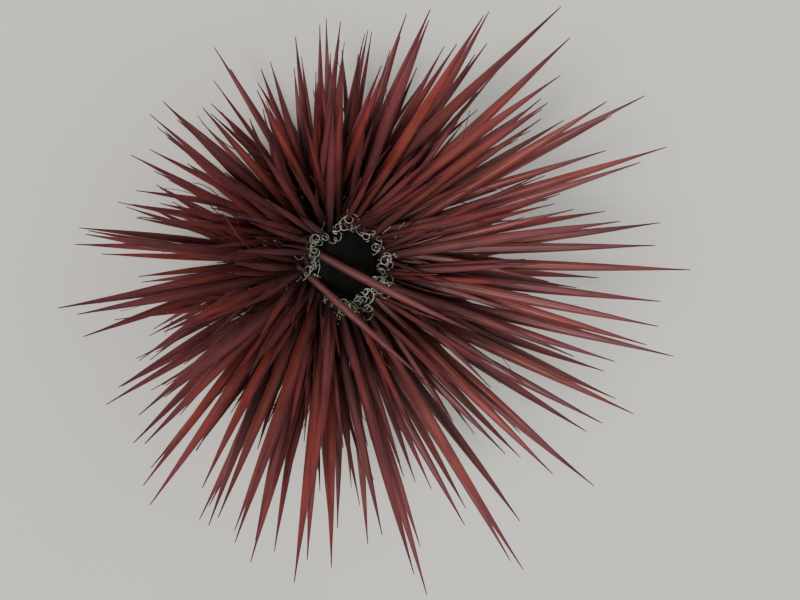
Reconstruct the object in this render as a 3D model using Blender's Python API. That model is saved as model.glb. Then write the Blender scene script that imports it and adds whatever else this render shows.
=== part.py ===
"""A needle-spined sea urchin at life size, standing on its lower needles, with its mouth down.

Metres, +Z up. The origin is on the floor, under the middle of the box round the needles' tips.
The test is parted along its meridians into five ambulacra and five interambulacra.
Each carries two columns of needles and a shorter one between them, which are fused with it.
"""

import math

import bmesh
import bpy
import numpy as np
from mathutils import Vector

# The test, a solid of revolution with its axis upright
TEST_RADIUS = 0.0110
CROWN_RISE = 0.0068
KEEL_DROP = 0.0060
TEST_CENTRE_HEIGHT = 0.0098
SHOULDER_POWER = 0.9
DISC_RADIUS = 0.0043
GAP = 0.0003
OUTLINE_STEPS = 13
SECTOR_STEPS = 5
CAP_STEPS = 4
ROUND_STEPS = 20

# Five teeth that close over the mouth
TEETH = 5
TOOTH_LENGTH = 0.0030
TOOTH_SHOWS = 0.0012
TOOTH_RADIUS = 0.0008
TOOTH_TIP_RADIUS = 0.00015
TOOTH_RING = 0.0011
TOOTH_LEAN = math.radians(12)

# Sectors, in degrees about the axis
AMBULACRUM_WIDTH = 34.0
INTERAMBULACRUM_WIDTH = 38.0
FIRST_AMBULACRUM_AT = 9.0
SECTORS = 10

# Columns of needles: place as a share of the sector's width, and how many rows down each starts
COLUMN_PLACES = (-0.25, 0.0, 0.25)
COLUMN_STARTS = (0.5, 2.25, 0.0)
MIDDLE_COLUMN_ROWS = 6
TOP_ROW_RADIUS = 0.0055
LAST_ROW_RADIUS = 0.0058
ROW_STEP = 0.00170
ROOT_SPREAD = 0.00010
OUTLINE_SAMPLES = 400

# How far a needle leans from the axis, and how long it is, by the polar angle of its root
ROOT_DEGREES = (25, 40, 60, 75, 90, 105, 124, 150)
LEAN_DEGREES = (50, 55, 64, 75, 90, 108, 148, 168)
LENGTHS = (0.039, 0.039, 0.036, 0.031, 0.026, 0.018, 0.008, 0.005)
STANDING_ROOT = math.radians(124)
STANDING_LEAN = math.radians(148)
LEAN_SPREAD = math.radians(5)
TURN_SPREAD = math.radians(7)
LENGTH_SPREAD = 0.08
NEAR_SIDE_SHORTER = 0.11
REAR_SHORTER = 0.12
REAR_AZIMUTH = math.radians(205)
FLOOR_CLEARANCE = 0.0007
SEED = 11

# A needle of full length: its radius under the skin, at its thickest, on its taper and where it stands
FULL_LENGTH = 0.034
SUNK = 0.0008
SUNK_RADIUS = 0.00048
SHAFT_RADIUS = 0.00074
TAPERED_RADIUS = 0.00047
FOOT_RADIUS = 0.00030
SLIMMEST = 0.55
THICKEST_AT = 0.40
TAPERED_AT = 0.76
BEND = 0.018
SIDES = 5

# The line of sight across which the needles below were measured, and where it passes the test
SIGHT_ELEVATION = math.radians(63)
SIGHT_ROLL = math.radians(-27)
SIGHT_DISTANCE = 0.199
SIGHT_PASSES = (0.0099, -0.0059)
SIGHT_DEPTHS = (-0.03, 0.06)
HALVINGS = 40

# Long needles: the bearing and reach of each tip from the test's middle, in degrees and millimetres
LONG_NEEDLES = (
    *((59, 34.5), (56, 40.5), (50, 35), (46, 49), (42, 45), (33, 35), (29, 44), (27, 49)),
    *((21, 41), (18, 45), (11, 34.5), (7, 40.5), (5, 46), (3, 45), (-2, 50), (-7, 34.5)),
    *((-14, 45.5), (-16, 49.5), (-20, 42), (-22, 36.5), (-28, 44), (-31, 47.5), (-34, 43)),
    *((-40, 44.5), (-44, 43), (-48, 36.5), (-54, 45), (-63, 41.5), (-66, 35), (-71, 32)),
    *((-79, 39), (-91, 41.5), (-97, 36.5), (-101, 41), (-108, 41.5), (-114, 40.5)),
    *((-125, 42), (-129, 40.5), (-135, 34.5), (-139, 31)),
)
LONG_ROWS_END = math.radians(66)

# Needles that lean in over the disc: the root's azimuth and polar angle, the tip's bearing and reach,
# and the lean
CROSSING_NEEDLES = (
    (270.5, 36, -27, 23.0, 50),
    (288.5, 43, -52, 21.5, 54),
)

# Colours
NEEDLE_COLOUR = (0.125, 0.032, 0.034)
DISC_COLOUR = (0.012, 0.010, 0.008)
MOUTH_COLOUR = (0.050, 0.030, 0.024)
SHARP_FROM = math.radians(50)

# Needles are turned apart until this much room is left between them
CLEARANCE = 0.00045
OVERLOOKED = 0.00015
NEEDLE_SAMPLES = 10
FIRST_SAMPLE = 0.15
TURNING_ROUNDS = 80
LONGEST_PUSH = 0.0015
TURNS_FROM = 0.08
PUSH = 0.6
MEASURED_EASE = 0.35


def outline(polar):
    """The test's radius and height: r = R sin(p)^k, z = centre + rise cos(p), with less rise below."""
    rise = np.where(np.cos(polar) > 0, CROWN_RISE, KEEL_DROP)
    return TEST_RADIUS * np.sin(polar) ** SHOULDER_POWER, TEST_CENTRE_HEIGHT + rise * np.cos(polar)


def polar_at_radius(radius, below=False):
    """The polar angle at which the test has this radius, above or below its widest level."""
    polar = math.asin((radius / TEST_RADIUS) ** (1 / SHOULDER_POWER))
    return math.pi - polar if below else polar


def on_test(polar, azimuth):
    radius, height = outline(polar)
    return np.stack([radius * np.cos(azimuth), radius * np.sin(azimuth), height], axis=-1)


def unit(vectors):
    return vectors / np.linalg.norm(vectors, axis=-1, keepdims=True)


def heading(lean, turn):
    """The unit vector that leans this far from +Z towards this azimuth."""
    return np.stack([np.sin(lean) * np.cos(turn), np.sin(lean) * np.sin(turn), np.cos(lean)], axis=-1)


def rows_and_columns():
    """Polar angle, azimuth and sector of every root. Each column starts half a step off the last."""
    first, last = polar_at_radius(TOP_ROW_RADIUS), polar_at_radius(LAST_ROW_RADIUS, below=True)
    polar = np.linspace(first, last, OUTLINE_SAMPLES)
    radius, height = outline(polar)
    arc = np.concatenate([[0], np.cumsum(np.hypot(np.diff(radius), np.diff(height)))])
    found = []
    for sector in range(SECTORS):
        width = INTERAMBULACRUM_WIDTH if sector % 2 else AMBULACRUM_WIDTH
        for place, start in zip(COLUMN_PLACES, COLUMN_STARTS):
            azimuth = math.radians(FIRST_AMBULACRUM_AT + 360 / SECTORS * sector + place * width)
            along = np.arange(start * ROW_STEP, arc[-1], ROW_STEP)
            along = along[:MIDDLE_COLUMN_ROWS] if place == 0 else along
            found += [(row, azimuth, sector) for row in np.interp(along, arc, polar)]
    table = np.array(found)
    return table[:, 0], table[:, 1], table[:, 2].astype(int)


def sight_frame():
    """Right, up and nearer as a viewer has them. The test's axis leans away along SIGHT_ROLL."""
    away = np.array([0, math.sin(SIGHT_ELEVATION), math.cos(SIGHT_ELEVATION)])
    side = np.array([1.0, 0.0, 0.0])
    nearer = np.array([0, -math.cos(SIGHT_ELEVATION), math.sin(SIGHT_ELEVATION)])
    right = math.cos(SIGHT_ROLL) * away + math.sin(SIGHT_ROLL) * side
    up = math.sin(SIGHT_ROLL) * away - math.cos(SIGHT_ROLL) * side
    return right, up, nearer


def tips_seen(roots, leans, bearings, reaches):
    """The tips that show at these bearings and reaches, at the depths that give each needle its lean.

    A point at depth d shows larger by D / (D - d), so its true offset is smaller by the inverse.
    The depth is found by halving, because a nearer tip always stands more upright.
    """
    right, up, nearer = sight_frame()
    passes = np.array(SIGHT_PASSES)
    shown = reaches[:, None] * np.stack([np.cos(bearings), np.sin(bearings)], axis=-1)
    low, high = (np.full(len(roots), depth) for depth in SIGHT_DEPTHS)
    for _ in range(HALVINGS):
        depth = (low + high) / 2
        across = (shown - passes) * (1 - depth / SIGHT_DISTANCE)[:, None] + passes
        tips = across[:, :1] * right + across[:, 1:] * up + depth[:, None] * nearer
        tips[:, 2] += TEST_CENTRE_HEIGHT
        flat = unit(tips - roots)[:, 2] < np.cos(leans)
        low, high = np.where(flat, depth, low), np.where(flat, high, depth)
    return tips


def settled(roots, directions, length, standing):
    """The tips, with every downward needle kept off the floor but for those that stand on it."""
    down = np.maximum(-directions[:, 2], 1e-6)
    room = (roots[:, 2] - np.where(standing, 0, FLOOR_CLEARANCE)) / down
    length = np.where(standing, room, np.minimum(length, room))
    return roots + length[:, None] * directions


def thickness(length):
    return np.clip(length / FULL_LENGTH, SLIMMEST, 1)


def gaps(roots, tips, bend):
    """How much too near each sample of each needle comes to each other needle, and the way out.

    Samples lie at p(s) = root + s (tip - root) + 4 s (1 - s) bend, closer together near the root.
    The other needle's point is the nearest on its chord, moved by its own bend.
    """
    chord = tips - roots
    length = np.linalg.norm(chord, axis=1)
    sag = bend * length[:, None]
    thick = thickness(length)
    along = np.linspace(FIRST_SAMPLE, 1, NEEDLE_SAMPLES) ** 2
    bulge = 4 * along * (1 - along)
    points = roots[:, None] + along[:, None] * chord[:, None] + bulge[:, None] * sag[:, None]
    relative = points[:, :, None] - roots
    other = np.clip(np.einsum("isjk,jk->isj", relative, chord) / length**2, 0, 1)
    away = relative - other[..., None] * chord - (4 * other * (1 - other))[..., None] * sag
    distance = np.linalg.norm(away, axis=-1)
    profile = ((0, THICKEST_AT, TAPERED_AT, 1), (SUNK_RADIUS, SHAFT_RADIUS, TAPERED_RADIUS, 0))
    own_radius = thick[:, None] * np.interp(along, *profile)
    other_radius = thick * np.interp(other, *profile)
    short = own_radius[..., None] + other_radius + CLEARANCE - distance
    everyone = np.arange(len(roots))
    short[everyone, :, everyone] = -1
    return along, short, away / np.maximum(distance, 1e-9)[..., None]


def turned_apart(roots, tips, bend, standing, ease):
    """The tips after each needle has turned about its root, in small steps, away from those too near."""
    length = np.linalg.norm(tips - roots, axis=1)
    for _ in range(TURNING_ROUNDS):
        along, short, away = gaps(roots, tips, bend)
        lever = np.where(along > TURNS_FROM, 1 / along, 0)
        wanted = np.maximum(short, 0)[..., None] * away * lever[:, None, None]
        push = (wanted.max(axis=1) + wanted.min(axis=1)).sum(axis=1) * (PUSH * ease[:, None])
        size = np.linalg.norm(push, axis=1, keepdims=True)
        push = push * np.minimum(1, LONGEST_PUSH / np.maximum(size, 1e-9))
        tips = settled(roots, unit(tips + push - roots), length, standing)
    return tips


def needle_field():
    """Every needle's root, tip, bend, sector and whether it stands on the floor."""
    rng = np.random.default_rng(SEED)
    polar, azimuth, sector = rows_and_columns()
    count = len(polar)
    degrees = np.degrees(polar)
    off = np.abs(polar - STANDING_ROOT)
    standing = (off == [off[azimuth == turn].min() for turn in azimuth]) & (off < ROW_STEP / TEST_RADIUS)
    shift = ROOT_SPREAD / TEST_RADIUS * rng.uniform(-1, 1, (2, count))
    roots = on_test(polar + shift[0], azimuth + shift[1])
    lean = np.radians(np.interp(degrees, ROOT_DEGREES, LEAN_DEGREES))
    lean = lean + LEAN_SPREAD * rng.standard_normal(count).clip(-2, 2)
    lean = np.where(standing, STANDING_LEAN, lean)
    turn = azimuth + TURN_SPREAD * rng.standard_normal(count).clip(-2, 2)
    shorter = NEAR_SIDE_SHORTER * (1 - np.sin(azimuth))
    shorter = shorter + REAR_SHORTER * np.maximum(np.cos(azimuth - REAR_AZIMUTH), 0)
    length = np.interp(degrees, ROOT_DEGREES, LENGTHS) * (1 - shorter)
    length = length * (1 + LENGTH_SPREAD * rng.standard_normal(count).clip(-2, 2))
    bend = unit(rng.standard_normal((count, 3))) * rng.random((count, 1)) ** 2 * BEND
    tips = settled(roots, heading(lean, turn), length, standing)

    # Each measured tip goes to the free upper root that already points nearest to it
    free = polar < LONG_ROWS_END
    right, up, _ = sight_frame()
    facing = np.arctan2((tips - roots) @ up, (tips - roots) @ right)
    chosen = []
    for root_azimuth, root_polar, bearing, reach, inward in CROSSING_NEEDLES:
        wanted_root = on_test(math.radians(root_polar), math.radians(root_azimuth))
        best = np.argmin(np.linalg.norm(roots - wanted_root, axis=1))
        free[best] = False
        chosen.append((best, math.radians(inward), math.radians(bearing), reach / 1000))
    for bearing, reach in LONG_NEEDLES:
        off = np.abs((facing - math.radians(bearing) + math.pi) % (2 * math.pi) - math.pi)
        best = np.argmin(np.where(free, off, 9))
        free[best] = False
        chosen.append((best, lean[best], math.radians(bearing), reach / 1000))
    table = np.array(chosen)
    measured = table[:, 0].astype(int)
    tips[measured] = tips_seen(roots[measured], table[:, 1], table[:, 2], table[:, 3])
    ease = np.ones(count)
    ease[measured] = MEASURED_EASE
    ease[measured[: len(CROSSING_NEEDLES)]] = 0
    tips = turned_apart(roots, tips, bend, standing, ease)

    # A needle that still has no room is left out, the measured ones last
    kept = np.ones(count, bool)
    short = gaps(roots, tips, bend)[1].max(axis=1)
    crowding = np.maximum(short, short.T)
    for first, second in np.argwhere(np.triu(crowding > OVERLOOKED)):
        if kept[first] and kept[second]:
            kept[second if ease[second] > ease[first] else first] = False
    return tuple(values[kept] for values in (roots, tips, bend, sector, standing))


def sector_mesh(middle, width):
    """The test's outline spun about the axis through one sector, both sides pulled in by half the gap."""
    edge = DISC_RADIUS + GAP
    polar = np.linspace(polar_at_radius(edge), polar_at_radius(edge, below=True), OUTLINE_STEPS + 1)
    bm = bmesh.new()
    corners = [bm.verts.new((radius, 0, height)) for radius, height in zip(*outline(polar))]
    face = bm.faces.new(corners)
    about_axis = {"cent": (0, 0, 0), "axis": (0, 0, 1), "dvec": (0, 0, 0)}
    spun = [face, *face.edges, *face.verts]
    bmesh.ops.spin(bm, geom=spun, angle=math.radians(width), steps=SECTOR_STEPS, **about_axis)
    half = math.radians(width) / 2
    for vert in bm.verts:
        radius = math.hypot(vert.co.x, vert.co.y)
        inset = math.asin(GAP / 2 / radius)
        turn = (math.atan2(vert.co.y, vert.co.x) - half) * (half - inset) / half
        angle = math.radians(middle) + turn
        vert.co = (radius * math.cos(angle), radius * math.sin(angle), vert.co.z)
    bmesh.ops.recalc_face_normals(bm, faces=bm.faces)
    return bm


def cap_mesh(below):
    """A turned plug with the test's own crown, or its underside, and a flat inner face at the middle."""
    edge = polar_at_radius(DISC_RADIUS, below)
    polar = np.linspace(math.pi if below else 0, edge, CAP_STEPS + 1)
    inner = TEST_CENTRE_HEIGHT + (-GAP / 2 if below else GAP / 2)
    profile = [*zip(*outline(polar)), (DISC_RADIUS, inner), (0, inner)]
    bm = bmesh.new()
    points = [bm.verts.new((radius, 0, height)) for radius, height in profile]
    edges = [bm.edges.new(pair) for pair in zip(points, points[1:])]
    about_axis = {"cent": (0, 0, 0), "axis": (0, 0, 1), "dvec": (0, 0, 0)}
    turned = [*points, *edges]
    bmesh.ops.spin(bm, geom=turned, angle=2 * math.pi, steps=ROUND_STEPS, use_merge=True, **about_axis)
    bmesh.ops.remove_doubles(bm, verts=bm.verts, dist=1e-6)
    bmesh.ops.recalc_face_normals(bm, faces=bm.faces)
    return bm


def needle_mesh(root, tip, bend, stands):
    """A cone from under the skin to the tip, cut across at two levels and given its thickness there.

    The end that stands runs on past the floor and is cut off flat at floor level.
    """
    root, tip, bend = Vector(root), Vector(tip), Vector(bend)
    length = (tip - root).length
    thick = float(thickness(length))
    flatness = (TEST_RADIUS / CROWN_RISE) ** 2
    outward = Vector((root.x, root.y, (root.z - TEST_CENTRE_HEIGHT) * flatness)).normalized()
    start = root - SUNK * outward
    end = tip + (tip - root).normalized() * (SUNK if stands else 0)
    whole = (end - start).length
    narrowest = FOOT_RADIUS if stands else 0
    bm = bmesh.new()
    bmesh.ops.create_cone(
        bm,
        cap_ends=True,
        segments=SIDES,
        radius1=SUNK_RADIUS * thick,
        radius2=narrowest,
        depth=whole,
    )
    share_of = {}
    for share, radius in ((THICKEST_AT, SHAFT_RADIUS), (TAPERED_AT, TAPERED_RADIUS)):
        level = Vector((0, 0, (share - 0.5) * whole))
        geometry = [*bm.verts, *bm.edges, *bm.faces]
        cut = bmesh.ops.bisect_plane(bm, geom=geometry, plane_co=level, plane_no=(0, 0, 1))
        for vert in (item for item in cut["geom_cut"] if isinstance(item, bmesh.types.BMVert)):
            across = Vector((vert.co.x, vert.co.y, 0)).normalized()
            vert.co = level + max(radius * thick, narrowest) * across
            share_of[vert] = share
    lying = (end - start).to_track_quat("Z", "Y")
    for vert in bm.verts:
        share = share_of.get(vert, 0)
        vert.co = (start + end) / 2 + lying @ vert.co + bend * length * (4 * share * (1 - share))
    bmesh.ops.remove_doubles(bm, verts=bm.verts, dist=1e-7)
    if stands:
        geometry = [*bm.verts, *bm.edges, *bm.faces]
        bmesh.ops.bisect_plane(bm, geom=geometry, plane_co=(0, 0, 0), plane_no=(0, 0, -1), clear_outer=True)
        bmesh.ops.holes_fill(bm, edges=bm.edges)
    bmesh.ops.recalc_face_normals(bm, faces=bm.faces)
    return bm


def tooth_mesh(azimuth):
    """A four-sided cone that leans in to the middle of the mouth, its root up in the mouth's plug."""
    bm = bmesh.new()
    bmesh.ops.create_cone(
        bm,
        cap_ends=True,
        segments=4,
        radius1=TOOTH_TIP_RADIUS,
        radius2=TOOTH_RADIUS,
        depth=TOOTH_LENGTH,
    )
    tip = Vector((0, 0, TEST_CENTRE_HEIGHT - KEEL_DROP - TOOTH_SHOWS))
    outward = Vector((math.cos(azimuth), math.sin(azimuth), 0))
    upward = (Vector((0, 0, 1)) * math.cos(TOOTH_LEAN) + outward * math.sin(TOOTH_LEAN)).normalized()
    middle = tip + outward * TOOTH_RING / 2 + upward * TOOTH_LENGTH / 2
    lying = upward.to_track_quat("Z", "Y")
    for vert in bm.verts:
        vert.co = middle + lying @ vert.co
    return bm


def finish(name, colour, roughness):
    made = bpy.data.materials.new(name)
    made.use_nodes = True
    shader = made.node_tree.nodes["Principled BSDF"]
    shader.inputs["Base Color"].default_value = (*colour, 1)
    shader.inputs["Roughness"].default_value = roughness
    return made


def add_object(name, bm, collection):
    mesh = bpy.data.meshes.new(name)
    bm.to_mesh(mesh)
    bm.free()
    obj = bpy.data.objects.new(name, mesh)
    collection.objects.link(obj)
    return obj


def keep_largest_surface(mesh):
    """Deletes every closed surface but the one with the most faces."""
    bm = bmesh.new()
    bm.from_mesh(mesh)
    left = set(bm.faces)
    surfaces = []
    while left:
        surface = set()
        edge = {left.pop()}
        while edge:
            surface |= edge
            edge = {near for face in edge for side in face.edges for near in side.link_faces} - surface
        left -= surface
        surfaces.append(surface)
    surfaces.sort(key=len)
    dropped = [face for surface in surfaces[:-1] for face in surface]
    bmesh.ops.delete(bm, geom=dropped, context="FACES")
    bm.to_mesh(mesh)
    bm.free()
    return len(surfaces)


def fuse(base, meshes):
    """Joins the pieces to the base by one Boolean union on their collection."""
    group = bpy.data.collections.new(f"{base.name}_pieces")
    group.hide_render = True
    bpy.context.scene.collection.children.link(group)
    pieces = [add_object(f"{base.name}_piece_{i}", bm, group) for i, bm in enumerate(meshes)]
    union = base.modifiers.new("union", "BOOLEAN")
    union.operation = "UNION"
    union.operand_type = "COLLECTION"
    union.collection = group
    union.solver = "EXACT"
    bpy.context.view_layer.update()
    evaluated = base.evaluated_get(bpy.context.evaluated_depsgraph_get())
    base.data = bpy.data.meshes.new_from_object(evaluated)
    base.modifiers.clear()
    for piece in pieces:
        bpy.data.objects.remove(piece)
    bpy.data.collections.remove(group)
    print(base.name, "surfaces after the union:", keep_largest_surface(base.data))


def dress(obj, colour, roughness, offset):
    """Moves the mesh to its place over the origin and gives it its finish."""
    for vert in obj.data.vertices:
        vert.co.x += offset[0]
        vert.co.y += offset[1]
    obj.data.materials.clear()
    obj.data.materials.append(finish(f"{obj.name}_finish", colour, roughness))
    obj.data.shade_smooth()
    obj.data.set_sharp_from_angle(angle=SHARP_FROM)


def main():
    for old in list(bpy.data.objects):
        bpy.data.objects.remove(old)
    urchin = bpy.data.collections.new("needle_spined_urchin")
    bpy.context.scene.collection.children.link(urchin)
    roots, tips, bend, sector, standing = needle_field()
    offset = -(tips.min(axis=0) + tips.max(axis=0)) / 2

    for k in range(SECTORS):
        width = INTERAMBULACRUM_WIDTH if k % 2 else AMBULACRUM_WIDTH
        bm = sector_mesh(FIRST_AMBULACRUM_AT + 360 / SECTORS * k, width)
        obj = add_object(f"{'inter' if k % 2 else ''}ambulacrum_{k // 2 + 1}", bm, urchin)
        mine = np.flatnonzero(sector == k)
        fuse(obj, [needle_mesh(roots[i], tips[i], bend[i], standing[i]) for i in mine])
        dress(obj, NEEDLE_COLOUR, 0.42, offset)

    disc = add_object("apical_disc", cap_mesh(below=False), urchin)
    dress(disc, DISC_COLOUR, 0.55, offset)
    mouth = add_object("mouth", cap_mesh(below=True), urchin)
    fuse(mouth, [tooth_mesh(2 * math.pi * i / TEETH) for i in range(TEETH)])
    dress(mouth, MOUTH_COLOUR, 0.60, offset)


main()
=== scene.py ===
# %% [markdown]
# # A sea urchin with long maroon needles
# The animal is a small flattened shell, the test, with a black disc on top and a mouth underneath. Needles
# stand on knobs all over it: long ones above, in a wide fan, and short ones below, on which it walks. The
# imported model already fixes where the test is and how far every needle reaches. It is loaded here as a
# frame that never moves, and everything else is laid over it in metres.

# %% Load the frame
import math

import bpy
import numpy as np
from mathutils import Matrix, Vector


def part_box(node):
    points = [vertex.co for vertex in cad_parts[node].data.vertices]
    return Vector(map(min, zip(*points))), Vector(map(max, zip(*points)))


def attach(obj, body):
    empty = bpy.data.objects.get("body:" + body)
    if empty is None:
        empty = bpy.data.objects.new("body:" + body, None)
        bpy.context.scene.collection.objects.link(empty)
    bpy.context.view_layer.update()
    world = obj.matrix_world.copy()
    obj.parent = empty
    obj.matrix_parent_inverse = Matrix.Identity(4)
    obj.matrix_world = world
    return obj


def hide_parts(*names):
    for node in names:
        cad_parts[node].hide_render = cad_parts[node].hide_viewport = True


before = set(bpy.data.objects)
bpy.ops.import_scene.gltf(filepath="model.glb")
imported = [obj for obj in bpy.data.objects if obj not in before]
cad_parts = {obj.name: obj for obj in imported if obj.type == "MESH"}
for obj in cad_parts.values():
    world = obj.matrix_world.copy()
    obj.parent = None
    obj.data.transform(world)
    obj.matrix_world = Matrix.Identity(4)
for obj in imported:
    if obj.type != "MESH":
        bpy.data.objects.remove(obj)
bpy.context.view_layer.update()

disc_low, disc_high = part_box("apical_disc")
AXIS = np.array([(disc_low.x + disc_high.x) / 2, (disc_low.y + disc_high.y) / 2, 0.0])
print("nodes:", len(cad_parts), "axis of the test at", AXIS.round(5))

# %% [markdown]
# ## The shape of the test
# A sea urchin's test is nearly a solid of revolution, lower than it is wide and flatter below than above.
# It could be sculpted, but a formula is better here, because the needles, the spines and the tube feet all
# have to find its surface. The radius is a power of the sine of the polar angle and the height goes with
# its cosine, so one function of two angles gives any point on it.

# %% The test as a function of two angles
TEST_RADIUS = 0.0110
CROWN_RISE = 0.0068
KEEL_DROP = 0.0060
TEST_CENTRE_HEIGHT = 0.0098
SHOULDER_POWER = 0.9
DISC_RADIUS = 0.0043
SLOPE_STEP = 1e-4
MERIDIAN_SAMPLES = 2000
TINY = 1e-12


def outline(polar):
    """The test's radius and height: r = R sin(p)^k, z = centre + rise cos(p), with less rise below."""
    rise = np.where(np.cos(polar) > 0, CROWN_RISE, KEEL_DROP)
    return TEST_RADIUS * np.sin(polar) ** SHOULDER_POWER, TEST_CENTRE_HEIGHT + rise * np.cos(polar)


def polar_at_radius(radius, below=False):
    """The polar angle at which the test has this radius, above or below its widest level."""
    polar = math.asin((radius / TEST_RADIUS) ** (1 / SHOULDER_POWER))
    return math.pi - polar if below else polar


def on_test(polar, azimuth):
    """The point of the test at these two angles, measured from the axis."""
    radius, height = outline(polar)
    return np.stack([radius * np.cos(azimuth), radius * np.sin(azimuth), height], axis=-1)


def unit(vectors):
    """Each vector at length 1."""
    return vectors / np.maximum(np.linalg.norm(vectors, axis=-1, keepdims=True), TINY)


def heading(lean, turn):
    """The unit vector that leans this far from +Z towards this azimuth."""
    return np.stack([np.sin(lean) * np.cos(turn), np.sin(lean) * np.sin(turn), np.cos(lean)], axis=-1)


def outward(polar, azimuth):
    """The test's normal: its slope along a meridian, turned a quarter turn away from the axis."""
    (before, lower), (after, upper) = outline(polar - SLOPE_STEP), outline(polar + SLOPE_STEP)
    across, rise = np.moveaxis(unit(np.stack([lower - upper, after - before], axis=-1)), -1, 0)
    return np.stack([across * np.cos(azimuth), across * np.sin(azimuth), rise], axis=-1)


# Shares of the way from the disc's pole to the mouth's pole, along a meridian
MERIDIAN_POLAR = np.linspace(0, math.pi, MERIDIAN_SAMPLES)
meridian = np.stack(outline(MERIDIAN_POLAR), axis=-1)
MERIDIAN_ARC = np.concatenate([[0], np.cumsum(np.linalg.norm(np.diff(meridian, axis=0), axis=1))])
MERIDIAN_SHARE = MERIDIAN_ARC / MERIDIAN_ARC[-1]
print(f"a meridian of the test is {MERIDIAN_ARC[-1] * 1000:.1f} mm long")

# %% [markdown]
# ## The camera
# The animal was photographed from above and a little to one side. The needles that cross the picture were
# measured across this same line of sight, so the camera and the needles share one set of values. The
# camera's matrix is written straight from three unit vectors: to the right, up, and back to the viewer.

# %% Look down on the urchin
SIGHT_ELEVATION = math.radians(63)
SIGHT_ROLL = math.radians(-27)
SIGHT_DISTANCE = 0.199
SIGHT_PASSES = (0.0099, -0.0059)
FOCAL_LENGTH = 65
SENSOR_WIDTH = 36
NEAREST_SEEN = 0.01


def sight_frame():
    """Right, up and nearer as a viewer has them. The test's axis leans away along SIGHT_ROLL."""
    away = np.array([0, math.sin(SIGHT_ELEVATION), math.cos(SIGHT_ELEVATION)])
    side = np.array([1.0, 0.0, 0.0])
    nearer = np.array([0, -math.cos(SIGHT_ELEVATION), math.sin(SIGHT_ELEVATION)])
    right = math.cos(SIGHT_ROLL) * away + math.sin(SIGHT_ROLL) * side
    up = math.sin(SIGHT_ROLL) * away - math.cos(SIGHT_ROLL) * side
    return right, up, nearer


right, up, nearer = sight_frame()
centre = AXIS + (0, 0, TEST_CENTRE_HEIGHT)
aim = centre + right * SIGHT_PASSES[0] + up * SIGHT_PASSES[1]
camera_data = bpy.data.cameras.new("camera")
camera_data.lens = FOCAL_LENGTH
camera_data.sensor_width = SENSOR_WIDTH
camera_data.clip_start = NEAREST_SEEN
camera = bpy.data.objects.new("camera", camera_data)
turned = Matrix((right, up, nearer)).transposed().to_4x4()
camera.matrix_world = Matrix.Translation(aim + nearer * SIGHT_DISTANCE) @ turned
bpy.context.scene.collection.objects.link(camera)
bpy.context.scene.camera = camera
print("the camera is at", tuple(round(value, 4) for value in camera.matrix_world.translation))

# %% [markdown]
# ## Light
# Soft daylight from above leaves a pale sheen on the upper faces of the needles and black gaps between
# them. A key lamp high on one side makes that sheen, and is wide enough for soft-edged shadows. Two weaker
# and wider ones, opposite and behind, and a pale surround keep the far sides readable.

# %% Lamps and surround
LAMPS = (
    # name, where it stands as seen from the urchin, width in degrees, strength, colour
    ("key", (0.27, -0.60, 0.75), 14, 2.7, (1.0, 0.97, 0.93)),
    ("fill", (-0.60, 0.25, 0.60), 70, 0.5, (0.96, 0.98, 1.0)),
    ("back", (0.10, 0.80, 0.40), 50, 0.3, (1.0, 0.98, 0.95)),
)
SURROUND = (0.84, 0.835, 0.82, 1.0)
SURROUND_STRENGTH = 0.60

for name, direction, width, strength, tint in LAMPS:
    lamp = bpy.data.lights.new(name, "SUN")
    lamp.angle = math.radians(width)
    lamp.energy = strength
    lamp.color = tint
    holder = bpy.data.objects.new(name, lamp)
    holder.rotation_euler = Vector(direction).to_track_quat("Z", "Y").to_euler()
    bpy.context.scene.collection.objects.link(holder)

world = bpy.data.worlds.new("surround")
world.use_nodes = True
world.node_tree.nodes["Background"].inputs["Color"].default_value = SURROUND
world.node_tree.nodes["Background"].inputs["Strength"].default_value = SURROUND_STRENGTH
bpy.context.scene.world = world
print("lamps:", [row[0] for row in LAMPS])

# %% [markdown]
# ## Shader sums
# A finish is a graph of small nodes, which is hard to read when it is wired by hand. Two small classes make
# it read like arithmetic. `Value` holds a socket, and its operators add Math nodes. `Finish` holds a
# material, and its one method `node` adds any other node: settings first, then what each socket gets. Its
# other methods are short names for the nodes that the finishes below need again and again.

# %% Colours, Value and Finish


def colour(red, green, blue):
    """A screen colour, 0 to 255, as the linear colour with alpha that shader sockets take."""
    share = np.array([red, green, blue]) / 255
    linear = np.where(share > 0.04045, ((share + 0.055) / 1.055) ** 2.4, share / 12.92)
    return (*linear.tolist(), 1.0)


class Value:
    """A shader socket that can stand in a sum. Each operator adds the Math node of its name."""

    def __init__(self, finish, socket):
        self.finish = finish
        self.socket = socket

    def math(self, operation, *terms):
        """The Math node of this operation on these terms."""
        return self.finish.node("ShaderNodeMath", dict(enumerate(terms)), operation=operation)

    def __add__(self, other):
        return self.math("ADD", self, other)

    def __sub__(self, other):
        return self.math("SUBTRACT", self, other)

    def __rsub__(self, other):
        return self.math("SUBTRACT", other, self)

    def __mul__(self, other):
        return self.math("MULTIPLY", self, other)

    __radd__ = __add__
    __rmul__ = __mul__


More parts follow.
